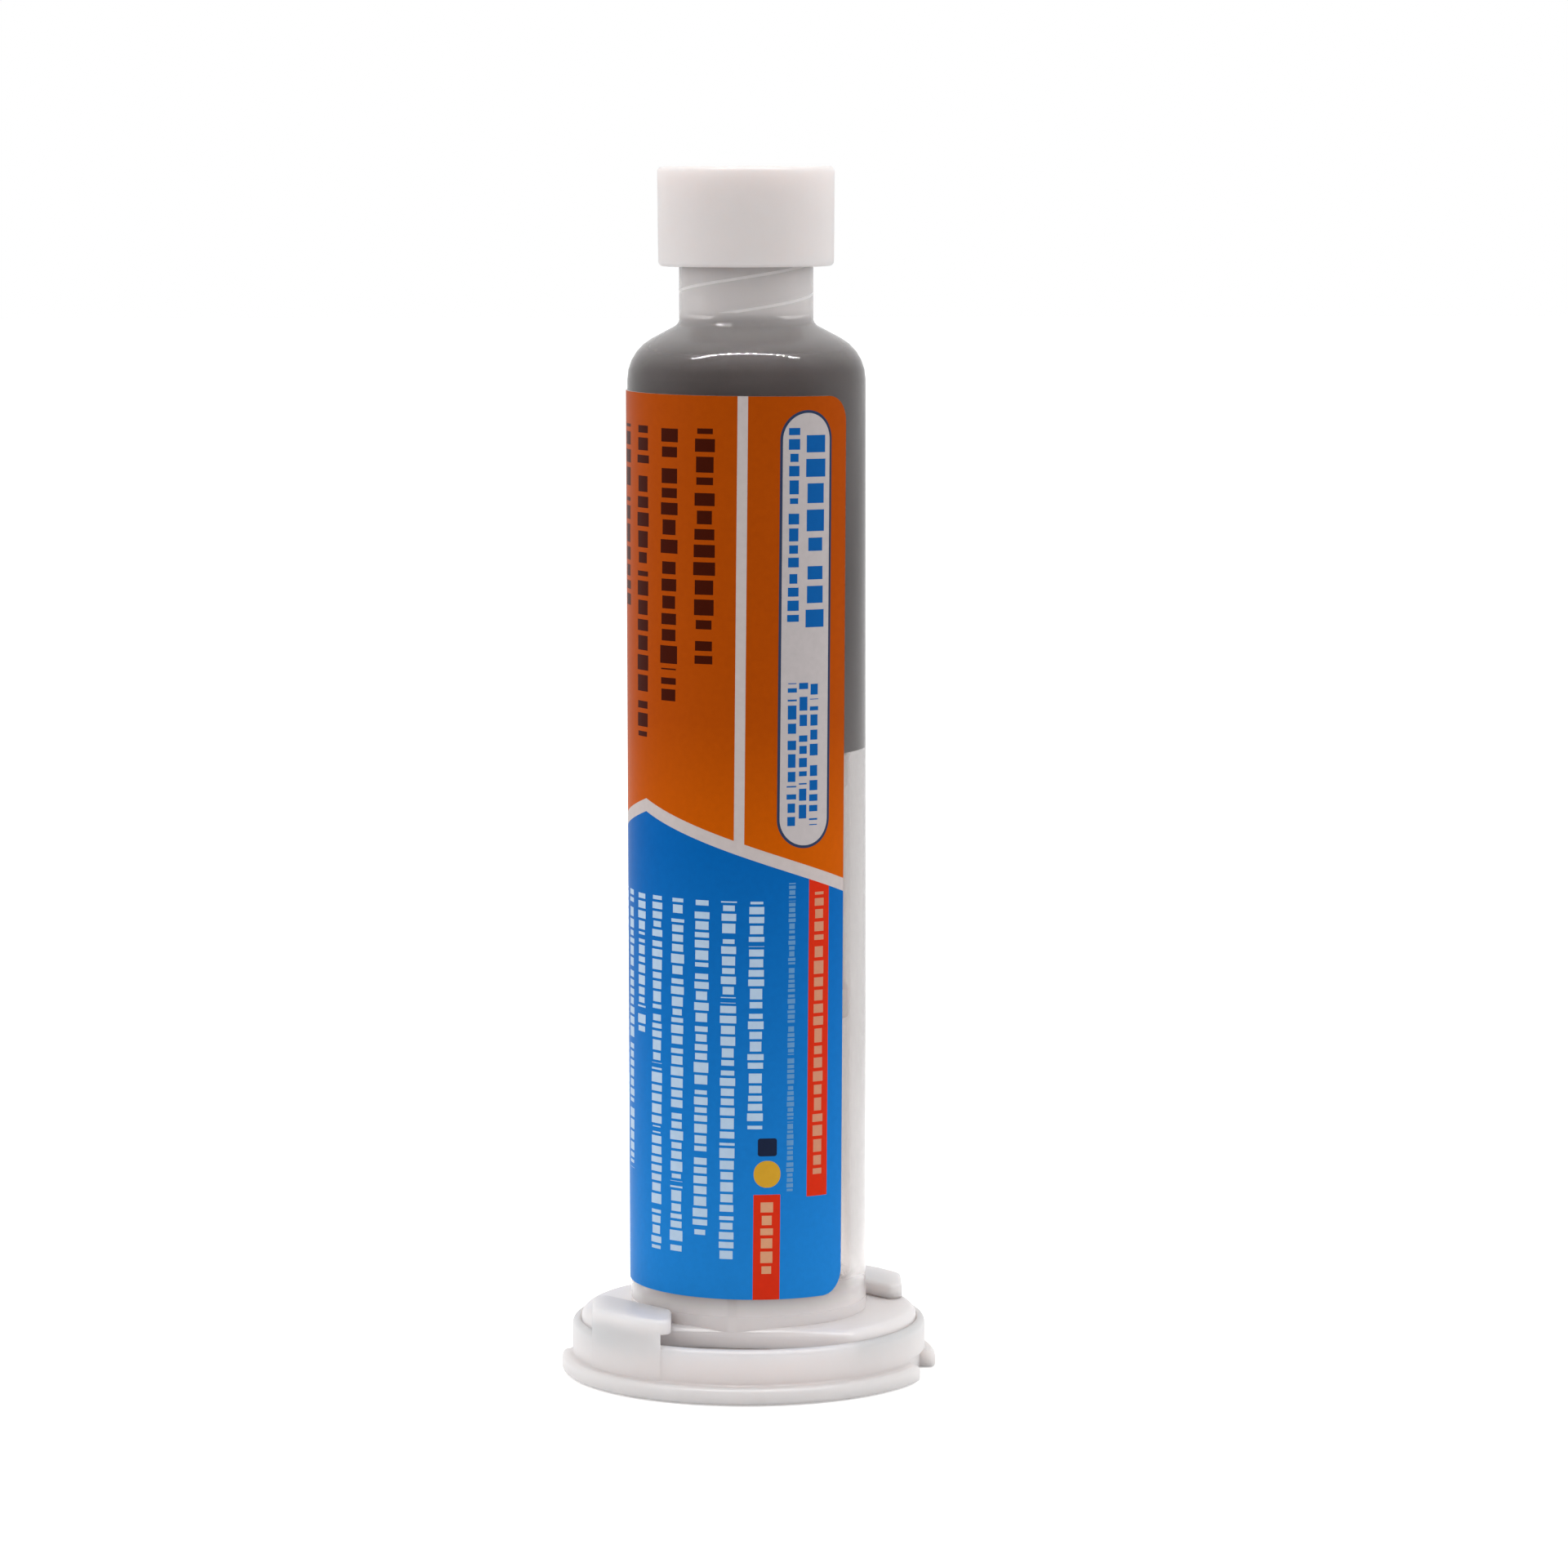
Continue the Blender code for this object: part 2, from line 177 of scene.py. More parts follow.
def combine(target, tool, operation):
    """Union or difference of two closed pieces; the tool is used up."""
    modifier = target.modifiers.new(operation.title(), "BOOLEAN")
    modifier.operation = operation
    modifier.solver = "EXACT"
    modifier.object = tool
    deselect()
    target.select_set(True)
    bpy.context.view_layer.objects.active = target
    bpy.ops.object.modifier_apply(modifier=modifier.name)
    bpy.data.objects.remove(tool)


print("helpers ready; smooth below", round(math.degrees(SMOOTH_ANGLE)), "degrees")

# %% [markdown]
# A turned piece can be spun from a profile or built by stacking and scaling rings. Spinning is the
# better way here, because the profile is the drawing that a mould maker works from.

# %% Turned pieces and plates
ROUND_STEPS = 160


def turned(name, corners, closed=True):
    """Draw a profile by extruding a vertex, then spin it round the axis."""
    deselect()
    bpy.ops.mesh.primitive_plane_add(size=MM)
    piece = bpy.context.object
    piece.name = piece.data.name = name
    profile = rounded(corners)
    if closed:
        profile.append(profile[0])
    bpy.ops.object.mode_set(mode="EDIT")
    bpy.ops.mesh.select_mode(type="VERT")
    bpy.ops.mesh.merge(type="CENTER")
    bpy.ops.transform.translate(value=(profile[0].x, 0, profile[0].y))
    for here, there in zip(profile, profile[1:]):
        step = there - here
        bpy.ops.mesh.extrude_region_move(TRANSFORM_OT_translate={"value": (step.x, 0, step.y)})
    bpy.ops.mesh.select_all(action="SELECT")
    bpy.ops.mesh.spin(steps=ROUND_STEPS, angle=math.tau, center=(0, 0, 0), axis=(0, 0, 1))
    bpy.ops.mesh.select_all(action="SELECT")
    bpy.ops.mesh.remove_doubles(threshold=MERGE_DISTANCE)
    bpy.ops.mesh.normals_make_consistent(inside=False)
    bpy.ops.object.mode_set(mode="OBJECT")
    return piece


def cut_disc(radius, cuts, corner=0.0):
    """Outline of a disc cut by straight lines, each (distance, azimuth), with rounded corners.

    The sharp outline is drawn smaller by the corner's radius and then grown by it all round, which
    rounds every corner alike.
    """
    reach = radius - corner
    lines = [(distance - corner, Vector((math.cos(a), math.sin(a)))) for distance, a in cuts]

    def kept(point):
        return all(point.dot(normal) <= distance + MERGE_DISTANCE for distance, normal in lines)

    sharp = []
    for distance, normal in lines:
        chord = math.sqrt(reach**2 - distance**2)
        along = Vector((-normal.y, normal.x))
        sharp += [normal * distance + along * chord, normal * distance - along * chord]
        for other_distance, other in lines:
            across = normal.x * other.y - normal.y * other.x
            if abs(across) > 0.01:
                x = (distance * other.y - other_distance * normal.y) / across
                y = (normal.x * other_distance - other.x * distance) / across
                sharp.append(Vector((x, y)))
    sharp = [point for point in sharp if kept(point)]

    outline = []
    for i in range(2 * ROUND_STEPS):
        azimuth = math.tau * i / (2 * ROUND_STEPS)
        facing = Vector((math.cos(azimuth), math.sin(azimuth)))
        furthest = facing * reach if kept(facing * reach) else max(sharp, key=facing.dot)
        point = furthest + facing * corner
        if not outline or (point - outline[-1]).length > 0.02 * MM:
            outline.append(point)
    return outline


def plate(name, outline, low, high, top_edge=0.0, low_edge=0.0):
    """A flat plate: a filled circle takes the outline's shape, is pulled up and gets round edges."""
    deselect()
    bpy.ops.mesh.primitive_circle_add(vertices=len(outline), fill_type="NGON")
    piece = bpy.context.object
    piece.name = piece.data.name = name
    for vert, point in zip(piece.data.vertices, outline):
        vert.co = (point.x, point.y, low)
    bpy.ops.object.mode_set(mode="EDIT")
    bpy.ops.mesh.select_mode(type="FACE")
    bpy.ops.mesh.select_all(action="SELECT")
    bpy.ops.mesh.extrude_region_move(TRANSFORM_OT_translate={"value": (0, 0, high - low)})
    bpy.ops.mesh.select_all(action="SELECT")
    bpy.ops.mesh.normals_make_consistent(inside=False)
    for level, edge in ((high, top_edge), (low, low_edge)):
        if edge:
            pick("EDGE", lambda e: all(abs(v.co.z - level) < MERGE_DISTANCE for v in e.verts))
            bpy.ops.mesh.bevel(offset=edge, affect="EDGES", segments=5)
    bpy.ops.object.mode_set(mode="OBJECT")
    return piece


print("round pieces get", ROUND_STEPS, "sides")

# %% [markdown]
# ## The barrel
# The real barrel is one moulding of clear polypropylene: a plain tube, a rounded shoulder, a short
# collar with a lock thread inside it, and the tapered nozzle in the middle of the collar. The whole
# wall is one closed profile, so light refracts through a true wall with an inner and an outer face.

# %% Barrel: the turned wall
COLLAR_RADIUS = 5.2 * MM
COLLAR_BORE = 4.0 * MM
NECK_FILLET = 0.7 * MM
NOZZLE_TIP = 1.985 * MM
NOZZLE_TAPER = 0.03
NOZZLE_REACH = 2.1 * MM
NOZZLE_BORE = 1.1 * MM
COLLAR_TOP = NOZZLE_TOP - NOZZLE_REACH


def cone_height(radius, inset=0.0):
    """Height of the shoulder's cone, this far inside the outer surface."""
    slope_angle = math.atan(SHOULDER_SLOPE)
    arc = SHOULDER_RADIUS - inset
    arc_x = BARREL_RADIUS - SHOULDER_RADIUS + arc * math.sin(slope_angle)
    arc_z = SHOULDER_LOW + arc * math.cos(slope_angle)
    return arc_z + (arc_x - radius) * SHOULDER_SLOPE


COLLAR_FLOOR = cone_height(COLLAR_BORE)
nozzle_foot = NOZZLE_TIP + NOZZLE_TAPER * (NOZZLE_TOP - COLLAR_FLOOR)
barrel = turned("barrel_body", [
    (BARREL_RADIUS, BARREL_LOW, 0),
    (BARREL_RADIUS, cone_height(BARREL_RADIUS), SHOULDER_RADIUS),
    (COLLAR_RADIUS, cone_height(COLLAR_RADIUS), NECK_FILLET),
    (COLLAR_RADIUS, COLLAR_TOP, 0.25 * MM),
    (COLLAR_BORE, COLLAR_TOP, 0.2 * MM),
    (COLLAR_BORE, COLLAR_FLOOR, 0.3 * MM),
    (nozzle_foot, COLLAR_FLOOR, 0.25 * MM),
    (NOZZLE_TIP, NOZZLE_TOP, 0.15 * MM),
    (NOZZLE_BORE, NOZZLE_TOP, 0.1 * MM),
    (NOZZLE_BORE, cone_height(NOZZLE_BORE, WALL), 0.4 * MM),
    (BORE_RADIUS, cone_height(BORE_RADIUS, WALL), SHOULDER_RADIUS - WALL),
    (BORE_RADIUS, BARREL_LOW, 0.2 * MM),
])
print("collar from", round(COLLAR_FLOOR / MM, 2), "to", round(COLLAR_TOP / MM, 2), "mm")

# %% [markdown]
# The flange is two round ears with a flat between them on each side: a disc cut by two parallel
# lines, with its corners rounded. It is joined to the tube with a Boolean union, because both then
# become one closed skin, as in the moulding.

# %% Barrel: the flange ears
FLANGE_RADIUS = 13.2 * MM
FLANGE_THICKNESS = 1.55 * MM
FLANGE_TOP = BARREL_LOW + FLANGE_THICKNESS
FLAT_DISTANCE = BARREL_RADIUS + 0.15 * MM
EAR_AZIMUTH = math.radians(-8)
EAR_CORNER = 1.6 * MM
EAR_EDGE = 0.8 * MM

flats = [(FLAT_DISTANCE, EAR_AZIMUTH + side * math.pi / 2) for side in (-1, 1)]
ears = cut_disc(FLANGE_RADIUS, flats, EAR_CORNER)
flange = plate("flange", ears, BARREL_LOW, FLANGE_TOP, EAR_EDGE, 0.05 * MM)
mid_wall = BARREL_RADIUS - WALL / 2
hole = plate("hole", cut_disc(mid_wall, []), BARREL_LOW - MM, FLANGE_TOP + MM)
combine(flange, hole, "DIFFERENCE")
combine(barrel, flange, "UNION")
print("ears reach", round(FLANGE_RADIUS / MM, 1), "mm, flats", round(FLAT_DISTANCE / MM, 2), "mm")

# %% [markdown]
# The lock thread has two starts and a steep 5 mm lead. It could be a separate coil joined by a
# Boolean, but pushing the collar's finely cut inner wall in and out by a helix formula keeps the
# mesh clean, and fades the thread out at both ends as the mould does.

# %% Barrel: the lock thread inside the collar
THREAD_LEAD = 5.0 * MM
THREAD_STARTS = 2
THREAD_DEPTH = 0.45 * MM
THREAD_FLANK = 0.34 * MM
THREAD_ROWS = 72
THREAD_FADE = 0.5 * MM
THREAD_PHASE = 1.47 * MM

wall_low, wall_high = COLLAR_FLOOR + 0.3 * MM, COLLAR_TOP - 0.2 * MM
edit(barrel)
tall_edges = pick("EDGE", lambda e: all(abs(v.co.xy.length - COLLAR_BORE) < 0.01 * MM for v in e.verts)
                  and abs(e.verts[0].co.z - e.verts[1].co.z) > (wall_high - wall_low) / 2)
bpy.ops.mesh.subdivide(number_cuts=THREAD_ROWS)
mesh = bmesh.from_edit_mesh(barrel.data)
pitch = THREAD_LEAD / THREAD_STARTS
for vert in mesh.verts:
    if abs(vert.co.xy.length - COLLAR_BORE) > 0.01 * MM or not wall_low < vert.co.z < wall_high:
        continue
    turn = math.atan2(vert.co.y, vert.co.x) / math.tau
    offset = (vert.co.z - wall_low - THREAD_PHASE - turn * THREAD_LEAD + pitch / 2) % pitch - pitch / 2
    ridge = max(0.0, 1.0 - (offset / THREAD_FLANK) ** 2) ** 0.5
    fade = min(1.0, (vert.co.z - wall_low) / THREAD_FADE, (wall_high - vert.co.z) / THREAD_FADE)
    vert.co.xy *= 1 - ridge * fade * THREAD_DEPTH / COLLAR_BORE
bmesh.update_edit_mesh(barrel.data)
finish_mesh(barrel)
print("thread cut on", tall_edges, "wall edges")

# %% [markdown]
# ## The solder paste
# The paste wets the wall, so no air shows between them. In Blender, a surface that only touches the
# wall flickers, and one that stays clear of it looks like a loose core, so the paste is let into the
# wall by a hair. It is two pieces: what fills the shoulder and the nozzle, and the column below it,
# down to the piston.

# %% Solder paste
WETTING = 0.015 * MM
PASTE_LOW = PISTON_FACE + 0.05 * MM
FILL_TOP = NOZZLE_TOP - 0.4 * MM

paste_radius = BORE_RADIUS + WETTING
paste_inset = WALL - WETTING
paste_fill = turned("paste_fill", [
    (0, SHOULDER_LOW, 0),
    (paste_radius, SHOULDER_LOW, 0),
    (paste_radius, cone_height(paste_radius, paste_inset), SHOULDER_RADIUS - paste_inset),
    (NOZZLE_BORE, cone_height(NOZZLE_BORE, paste_inset), 0.3 * MM),
    (NOZZLE_BORE, FILL_TOP, 0),
    (0, FILL_TOP, 0),
], closed=False)
finish_mesh(paste_fill)

paste_column = turned("paste_column", [
    (0, PASTE_LOW, 0),
    (paste_radius, PASTE_LOW, 0.1 * MM),
    (paste_radius, SHOULDER_LOW, 0),
    (0, SHOULDER_LOW, 0),
], closed=False)
finish_mesh(paste_column)

# %% [markdown]
# ## The piston
# A thin white wiper of polyethylene: a flat face, two sealing lips and a waist between them so that
# only the lips rub. It is hollow from behind, where air or a plunger pushes.

# %% Piston
PISTON_WALL = 1.3 * MM
LIP_BAND = 2.4 * MM
WAIST_DEPTH = 0.35 * MM

waist = SEAL_RADIUS - WAIST_DEPTH
hollow = waist - PISTON_WALL
piston = turned("piston_wiper", [
    (0, PISTON_FACE - PISTON_WALL, 0),
    (hollow, PISTON_FACE - PISTON_WALL, 0.8 * MM),
    (hollow, PISTON_LOW, 0.2 * MM),
    (SEAL_RADIUS, PISTON_LOW, 0.3 * MM),
    (SEAL_RADIUS, PISTON_LOW + LIP_BAND, 0.25 * MM),
    (waist, PISTON_LOW + LIP_BAND + WAIST_DEPTH, 0.25 * MM),
    (waist, PISTON_FACE - LIP_BAND - WAIST_DEPTH, 0.25 * MM),
    (SEAL_RADIUS, PISTON_FACE - LIP_BAND, 0.25 * MM),
    (SEAL_RADIUS, PISTON_FACE, 0.4 * MM),
    (0, PISTON_FACE, 0),
], closed=False)
finish_mesh(piston)

# %% [markdown]
# ## The tip cap
# A milky polypropylene cap over the collar. Its smooth skirt narrows a little towards the mouth, and
# a stem inside it seals on the nozzle. The top has the small sunk gate mark that a moulding keeps.

# %% Tip cap
CAP_LOW = COLLAR_TOP - 3.4 * MM
SKIRT_INSIDE = COLLAR_RADIUS + 0.25 * MM
CAP_DRAFT = 0.07 * MM
CAP_CEILING = CAP_TOP - 1.3 * MM
SOCKET_TOP = NOZZLE_TOP + 0.3 * MM
SOCKET_RADIUS = NOZZLE_TIP + 0.1 * MM
STEM_RADIUS = COLLAR_BORE - 0.62 * MM
GATE_RADIUS = 1.1 * MM
GATE_DEPTH = 0.2 * MM

socket_mouth = SOCKET_RADIUS + NOZZLE_TAPER * (NOZZLE_TOP - STEM_LOW)
tip_cap = turned("tip_cap_shell", [
    (0, SOCKET_TOP, 0),
    (SOCKET_RADIUS, SOCKET_TOP, 0.3 * MM),
    (socket_mouth, STEM_LOW, 0.25 * MM),
    (STEM_RADIUS, STEM_LOW, 0.25 * MM),
    (STEM_RADIUS, CAP_CEILING, 0.3 * MM),
    (SKIRT_INSIDE, CAP_CEILING, 0.5 * MM),
    (SKIRT_INSIDE, CAP_LOW, 0.25 * MM),
    (CAP_RADIUS - CAP_DRAFT, CAP_LOW, 0.4 * MM),
    (CAP_RADIUS, CAP_TOP, 0.45 * MM),
    (GATE_RADIUS, CAP_TOP, 0.1 * MM),
    (GATE_RADIUS, CAP_TOP - GATE_DEPTH, 0.1 * MM),
    (0.35 * MM, CAP_TOP - GATE_DEPTH, 0),
    (0.25 * MM, CAP_TOP - 0.06 * MM, 0),
    (0, CAP_TOP - 0.06 * MM, 0),
], closed=False)
finish_mesh(tip_cap)

# %% [markdown]
# ## The end cap
# The foot that the syringe stands on is one milky moulding: a disc, a platform under the flange with
# a low rim round it, a hollow plug in the bore, and two clips whose lips reach over the ears. The
# round parts are turned first, and the clips and the two finger notches are then joined and cut with
# Booleans.

# %% End cap: disc, platform and plug
DISC_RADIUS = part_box("end_cap")[1].x
DISC_THICKNESS = 1.3 * MM
PLATFORM_RADIUS = 13.9 * MM
PLATFORM_TOP = BARREL_LOW - 0.05 * MM
RIM_TOP = PLATFORM_TOP + 0.8 * MM
RIM_INSIDE = FLANGE_RADIUS + 0.1 * MM
PLUG_RADIUS = BORE_RADIUS - 0.08 * MM
PLUG_WALL = 1.2 * MM

end_cap = turned("end_cap_foot", [
    (0, PLUG_TOP - PLUG_WALL, 0),
    (PLUG_RADIUS - PLUG_WALL, PLUG_TOP - PLUG_WALL, 0.8 * MM),
    (PLUG_RADIUS - PLUG_WALL, 0, 0.3 * MM),
    (DISC_RADIUS, 0, 0.3 * MM),
    (DISC_RADIUS, DISC_THICKNESS, 0.5 * MM),
    (PLATFORM_RADIUS, DISC_THICKNESS, 0.3 * MM),
    (PLATFORM_RADIUS, RIM_TOP, 0.5 * MM),
    (RIM_INSIDE, RIM_TOP, 0.08 * MM),
    (RIM_INSIDE, PLATFORM_TOP, 0.05 * MM),
    (PLUG_RADIUS, PLATFORM_TOP, 0.15 * MM),
    (PLUG_RADIUS, PLUG_TOP, 0.5 * MM),
    (0, PLUG_TOP, 0),
], closed=False)
print("foot", round(2 * DISC_RADIUS / MM, 1), "mm across")

# %% [markdown]
# Each clip is a thin wall that stands on the disc just outside the ear, and a lip that reaches
# inwards over the ear to a straight edge by the barrel. The lip overhangs the wall's free end a
# little and is rounded there. The same steps make the second clip, with the plan turned half round.

# %% End cap: clips and finger notches
LIP_LOW = FLANGE_TOP + 0.05 * MM
LIP_TOP = LIP_LOW + 1.15 * MM
CLIP_RADIUS = PLATFORM_RADIUS + 0.06 * MM
CLIP_INSIDE = FLANGE_RADIUS + 0.2 * MM
CLIP_FAR = 12.2 * MM
CLIP_NEAR = 6.0 * MM
LIP_OVERHANG = 0.8 * MM
LIP_CORNER = 0.8 * MM
LIP_EDGE = 0.35 * MM
LIP_EDGE_DISTANCE = FLAT_DISTANCE + 0.05 * MM
LIP_EDGE_AZIMUTH = math.radians(42)
NOTCH_RADIUS = DISC_RADIUS - 1.25 * MM
NOTCH_AZIMUTHS = (math.radians(-25), math.radians(-3))
NOTCH_TOP = DISC_THICKNESS + 0.4 * MM


def clip_plan(side, near, corner):
    """Plan of a clip on one side (1 behind right, -1 in front left), with its free end at near."""
    facing = 0 if side > 0 else math.pi
    return cut_disc(CLIP_RADIUS, [
        (CLIP_FAR, facing),
        (-near, facing + math.pi),
        (-LIP_EDGE_DISTANCE, facing + LIP_EDGE_AZIMUTH + math.pi),
    ], corner)


for side in (1, -1):
    wall_plan = clip_plan(side, CLIP_NEAR + LIP_OVERHANG, 0.0)
    wall = plate("clip_wall", wall_plan, DISC_THICKNESS / 2, LIP_LOW + 0.2 * MM)
    pocket = plate("pocket", cut_disc(CLIP_INSIDE, []), 0, LIP_TOP)
    combine(wall, pocket, "DIFFERENCE")
    lip = plate("clip_lip", clip_plan(side, CLIP_NEAR, LIP_CORNER), LIP_LOW, LIP_TOP, LIP_EDGE, 0.15 * MM)
    combine(end_cap, wall, "UNION")
    combine(end_cap, lip, "UNION")

for turn in (0, math.pi):
    start, end = [azimuth + turn for azimuth in NOTCH_AZIMUTHS]
    wedge = [(0.0, start - math.pi / 2), (0.0, end + math.pi / 2)]
    cutter = plate("cutter", cut_disc(DISC_RADIUS + MM, wedge), -MM, NOTCH_TOP)
    core = plate("core", cut_disc(NOTCH_RADIUS, []), -2 * MM, NOTCH_TOP + MM)
    combine(cutter, core, "DIFFERENCE")
    combine(end_cap, cutter, "DIFFERENCE")
finish_mesh(end_cap)

# %% [markdown]
# ## The label
# A printed film, wrapped round three quarters and more of the barrel, with an open window where the
# paste's level shows. It is made as a real label is: cut flat with round corners, printed on its
# own millimetre grid, laid on slightly askew, and rolled round the barrel. The flat place of every
# corner becomes its UV, in millimetres, so the print stays true to size after the rolling.

# %% Label: cut flat, printed grid, rolled on
FILM_THICKNESS = 0.09 * MM
FILM_INSIDE = BARREL_RADIUS + 0.02 * MM
LABEL_RIGHT = 8.55 * MM
LABEL_WIDTH = 46.9 * MM
LABEL_CORNER = 2.0 * MM
LABEL_TILT = math.radians(0.66)
TILT_ROOM_LOW = 0.12 * MM
TILT_ROOM_TOP = 0.1 * MM
LABEL_COLUMNS = 120
PRINT_CENTRE = 42.0 * MM
FRONT = -math.pi / 2

label_left = LABEL_RIGHT - LABEL_WIDTH
label_bottom = LABEL_LOW + TILT_ROOM_LOW - PRINT_CENTRE
label_top = LABEL_TOP - TILT_ROOM_TOP - PRINT_CENTRE
deselect()
bpy.ops.mesh.primitive_plane_add(size=1)
label = bpy.context.object
label.name = label.data.name = "label_film"
bpy.ops.object.mode_set(mode="EDIT")
bpy.ops.transform.resize(value=(LABEL_WIDTH, label_top - label_bottom, 1))
bpy.ops.transform.translate(value=((label_left + LABEL_RIGHT) / 2, (label_bottom + label_top) / 2, 0))
bpy.ops.mesh.bevel(offset=LABEL_CORNER, affect="VERTICES", segments=10)
for i in range(1, LABEL_COLUMNS):
    bpy.ops.mesh.select_all(action="SELECT")
    column = label_left + LABEL_WIDTH * i / LABEL_COLUMNS
    bpy.ops.mesh.bisect(plane_co=(column, 0, 0), plane_no=(1, 0, 0))
bpy.ops.object.mode_set(mode="OBJECT")

uv_layer = label.data.uv_layers[0].data
for loop in label.data.loops:
    flat = label.data.vertices[loop.vertex_index].co
    uv_layer[loop.index].uv = (flat.x / MM, flat.y / MM)
for vert in label.data.vertices:
    along = vert.co.x * math.cos(LABEL_TILT) + vert.co.y * math.sin(LABEL_TILT)
    height = vert.co.y * math.cos(LABEL_TILT) - vert.co.x * math.sin(LABEL_TILT)
    azimuth = FRONT + along / (FILM_INSIDE + FILM_THICKNESS)
    vert.co = (FILM_INSIDE * math.cos(azimuth), FILM_INSIDE * math.sin(azimuth), PRINT_CENTRE + height)
print("label", round(LABEL_WIDTH / MM, 1), "mm wide,", len(label.data.polygons), "strips")

# %% [markdown]
# The rolled sheet gets its thickness from Solidify, outwards, so the film's back stays on the wall.
# The print is on the outside only. The back and the cut edges are bare white film, a second
# material slot.

# %% Label: thickness
edit(label)
bpy.ops.mesh.select_all(action="SELECT")
bpy.ops.mesh.normals_make_consistent(inside=False)
bpy.ops.object.mode_set(mode="OBJECT")
outward = label.data.polygons[0].normal.dot(label.data.polygons[0].center) > 0
solidify = label.modifiers.new("Film", "SOLIDIFY")
solidify.thickness = FILM_THICKNESS
solidify.offset = 1.0 if outward else -1.0
bpy.ops.object.modifier_apply(modifier=solidify.name)
finish_mesh(label)

# %% [markdown]
# ## Materials
# Colours are read off swatches as sRGB hex values and turned to the linear values that a shader
# needs. One helper adds a node with its settings and its inputs. An input is a plain value, an output
# of another node, or the node itself, which stands for its first output.

# %% Colours and nodes
RGBA = {"data_type": "RGBA"}
SMOOTH = {"interpolation_type": "SMOOTHSTEP"}


def colour(hex_value):
    """Linear RGBA of an sRGB hex colour."""
    channels = [int(hex_value[i:i + 2], 16) / 255 for i in (1, 3, 5)]
    return [c / 12.92 if c <= 0.04045 else ((c + 0.055) / 1.055) ** 2.4 for c in channels] + [1.0]


def connect(tree, node, inputs):
    """Set or link a node's inputs."""
    for key, value in inputs.items():
        if isinstance(value, bpy.types.Node):
            value = value.outputs[0]
        if isinstance(value, bpy.types.NodeSocket):
            tree.links.new(value, node.inputs[key])
        else:
            node.inputs[key].default_value = value


def add_node(tree, kind, settings={}, inputs={}):
    """Add a shader node of a kind, set its properties, and set or link its inputs."""
    node = tree.nodes.new("ShaderNode" + kind)
    for name, value in settings.items():
        setattr(node, name, value)
    connect(tree, node, inputs)
    return node


def new_material(name):
    """A material with its tree, its Principled shader and its Object coordinates."""
    material = bpy.data.materials.new(name)
    material.use_nodes = True
    tree = material.node_tree
    place = add_node(tree, "TexCoord").outputs["Object"]
    return material, tree, tree.nodes["Principled BSDF"], place


print("mid grey #808080 is", round(colour("#808080")[0], 3), "in linear light")

# %% [markdown]
# ** Clear polypropylene, injection moulded.** Light passes through it, with a slight milkiness from
# the polymer's crystals, and the moulded skin is glossy but a little wavy where the melt flowed. Thick
# plastic looks milkier than thin. A shader doesn't know how thick a wall is, so the milk rises with
# the height: most at the flange, least along the tube, and some in the collar, where the ridges of
# the lock thread show through as milkier, whiter lines. Those lines are partly the thicker plastic
# and partly a painted highlight, standing in for the bright lines of light along the thread.

# %% Material: clear polypropylene
MELT_WAVE = 3.0 * MM
CLOUD = 6.0 * MM
MILK_AT_FLANGE = 0.75
MILK_IN_TUBE = 0.02
MILK_IN_SHOULDER = 0.28
MILK_IN_COLLAR = 0.58
# Milk on the thread's ridges, partly a painted highlight along the thread.
MILK_AND_HIGHLIGHT_IN_THREAD = 0.76
RIDGE_CREST = 0.04 * MM
RIDGE_FOOT = 0.36 * MM
POLYPROPYLENE_IOR = 1.49

clear_pp, tree, shader, place = new_material("clear_polypropylene_moulded")
cloud = add_node(tree, "TexNoise", inputs={"Vector": place, "Scale": 1 / CLOUD, "Detail": 2})
tint = add_node(tree, "Mix", RGBA, {0: cloud, 6: colour("#ECE5E3"), 7: colour("#F3EEEC")})
wave = add_node(tree, "TexNoise", inputs={"Vector": place, "Scale": 1 / MELT_WAVE, "Detail": 1})
bump = add_node(tree, "Bump",
                inputs={"Height": wave, "Strength": 0.02, "Distance": 0.05 * MM})
axes = add_node(tree, "SeparateXYZ", inputs={0: place})
height = axes.outputs[2]
flange_clear = add_node(tree, "MapRange", SMOOTH,
                        {"Value": height, "From Min": FLANGE_TOP, "From Max": FLANGE_TOP + 4 * MM,
                         "To Min": 1 - MILK_AT_FLANGE, "To Max": 1 - MILK_IN_TUBE})
shoulder_clear = add_node(tree, "MapRange", SMOOTH,
                          {"Value": height, "From Min": SHOULDER_LOW, "From Max": COLLAR_FLOOR,
                           "To Min": 1.0, "To Max": 1 - MILK_IN_SHOULDER})
collar_clear = add_node(tree, "MapRange", SMOOTH, {
    "Value": height, "From Min": COLLAR_FLOOR - MM, "From Max": COLLAR_FLOOR + 0.6 * MM,
    "To Min": shoulder_clear, "To Max": 1 - MILK_IN_COLLAR})
azimuth = add_node(tree, "Math", {"operation": "ARCTAN2"}, {0: axes.outputs[1], 1: axes})
unwound = add_node(tree, "Math", {"operation": "MULTIPLY_ADD"},
                   {0: azimuth, 1: -THREAD_LEAD / math.tau, 2: height})
climb = add_node(tree, "Math", {"operation": "SUBTRACT"}, {0: unwound, 1: wall_low + THREAD_PHASE})
from_ridge = add_node(tree, "Math", {"operation": "PINGPONG"}, {0: climb, 1: pitch / 2})
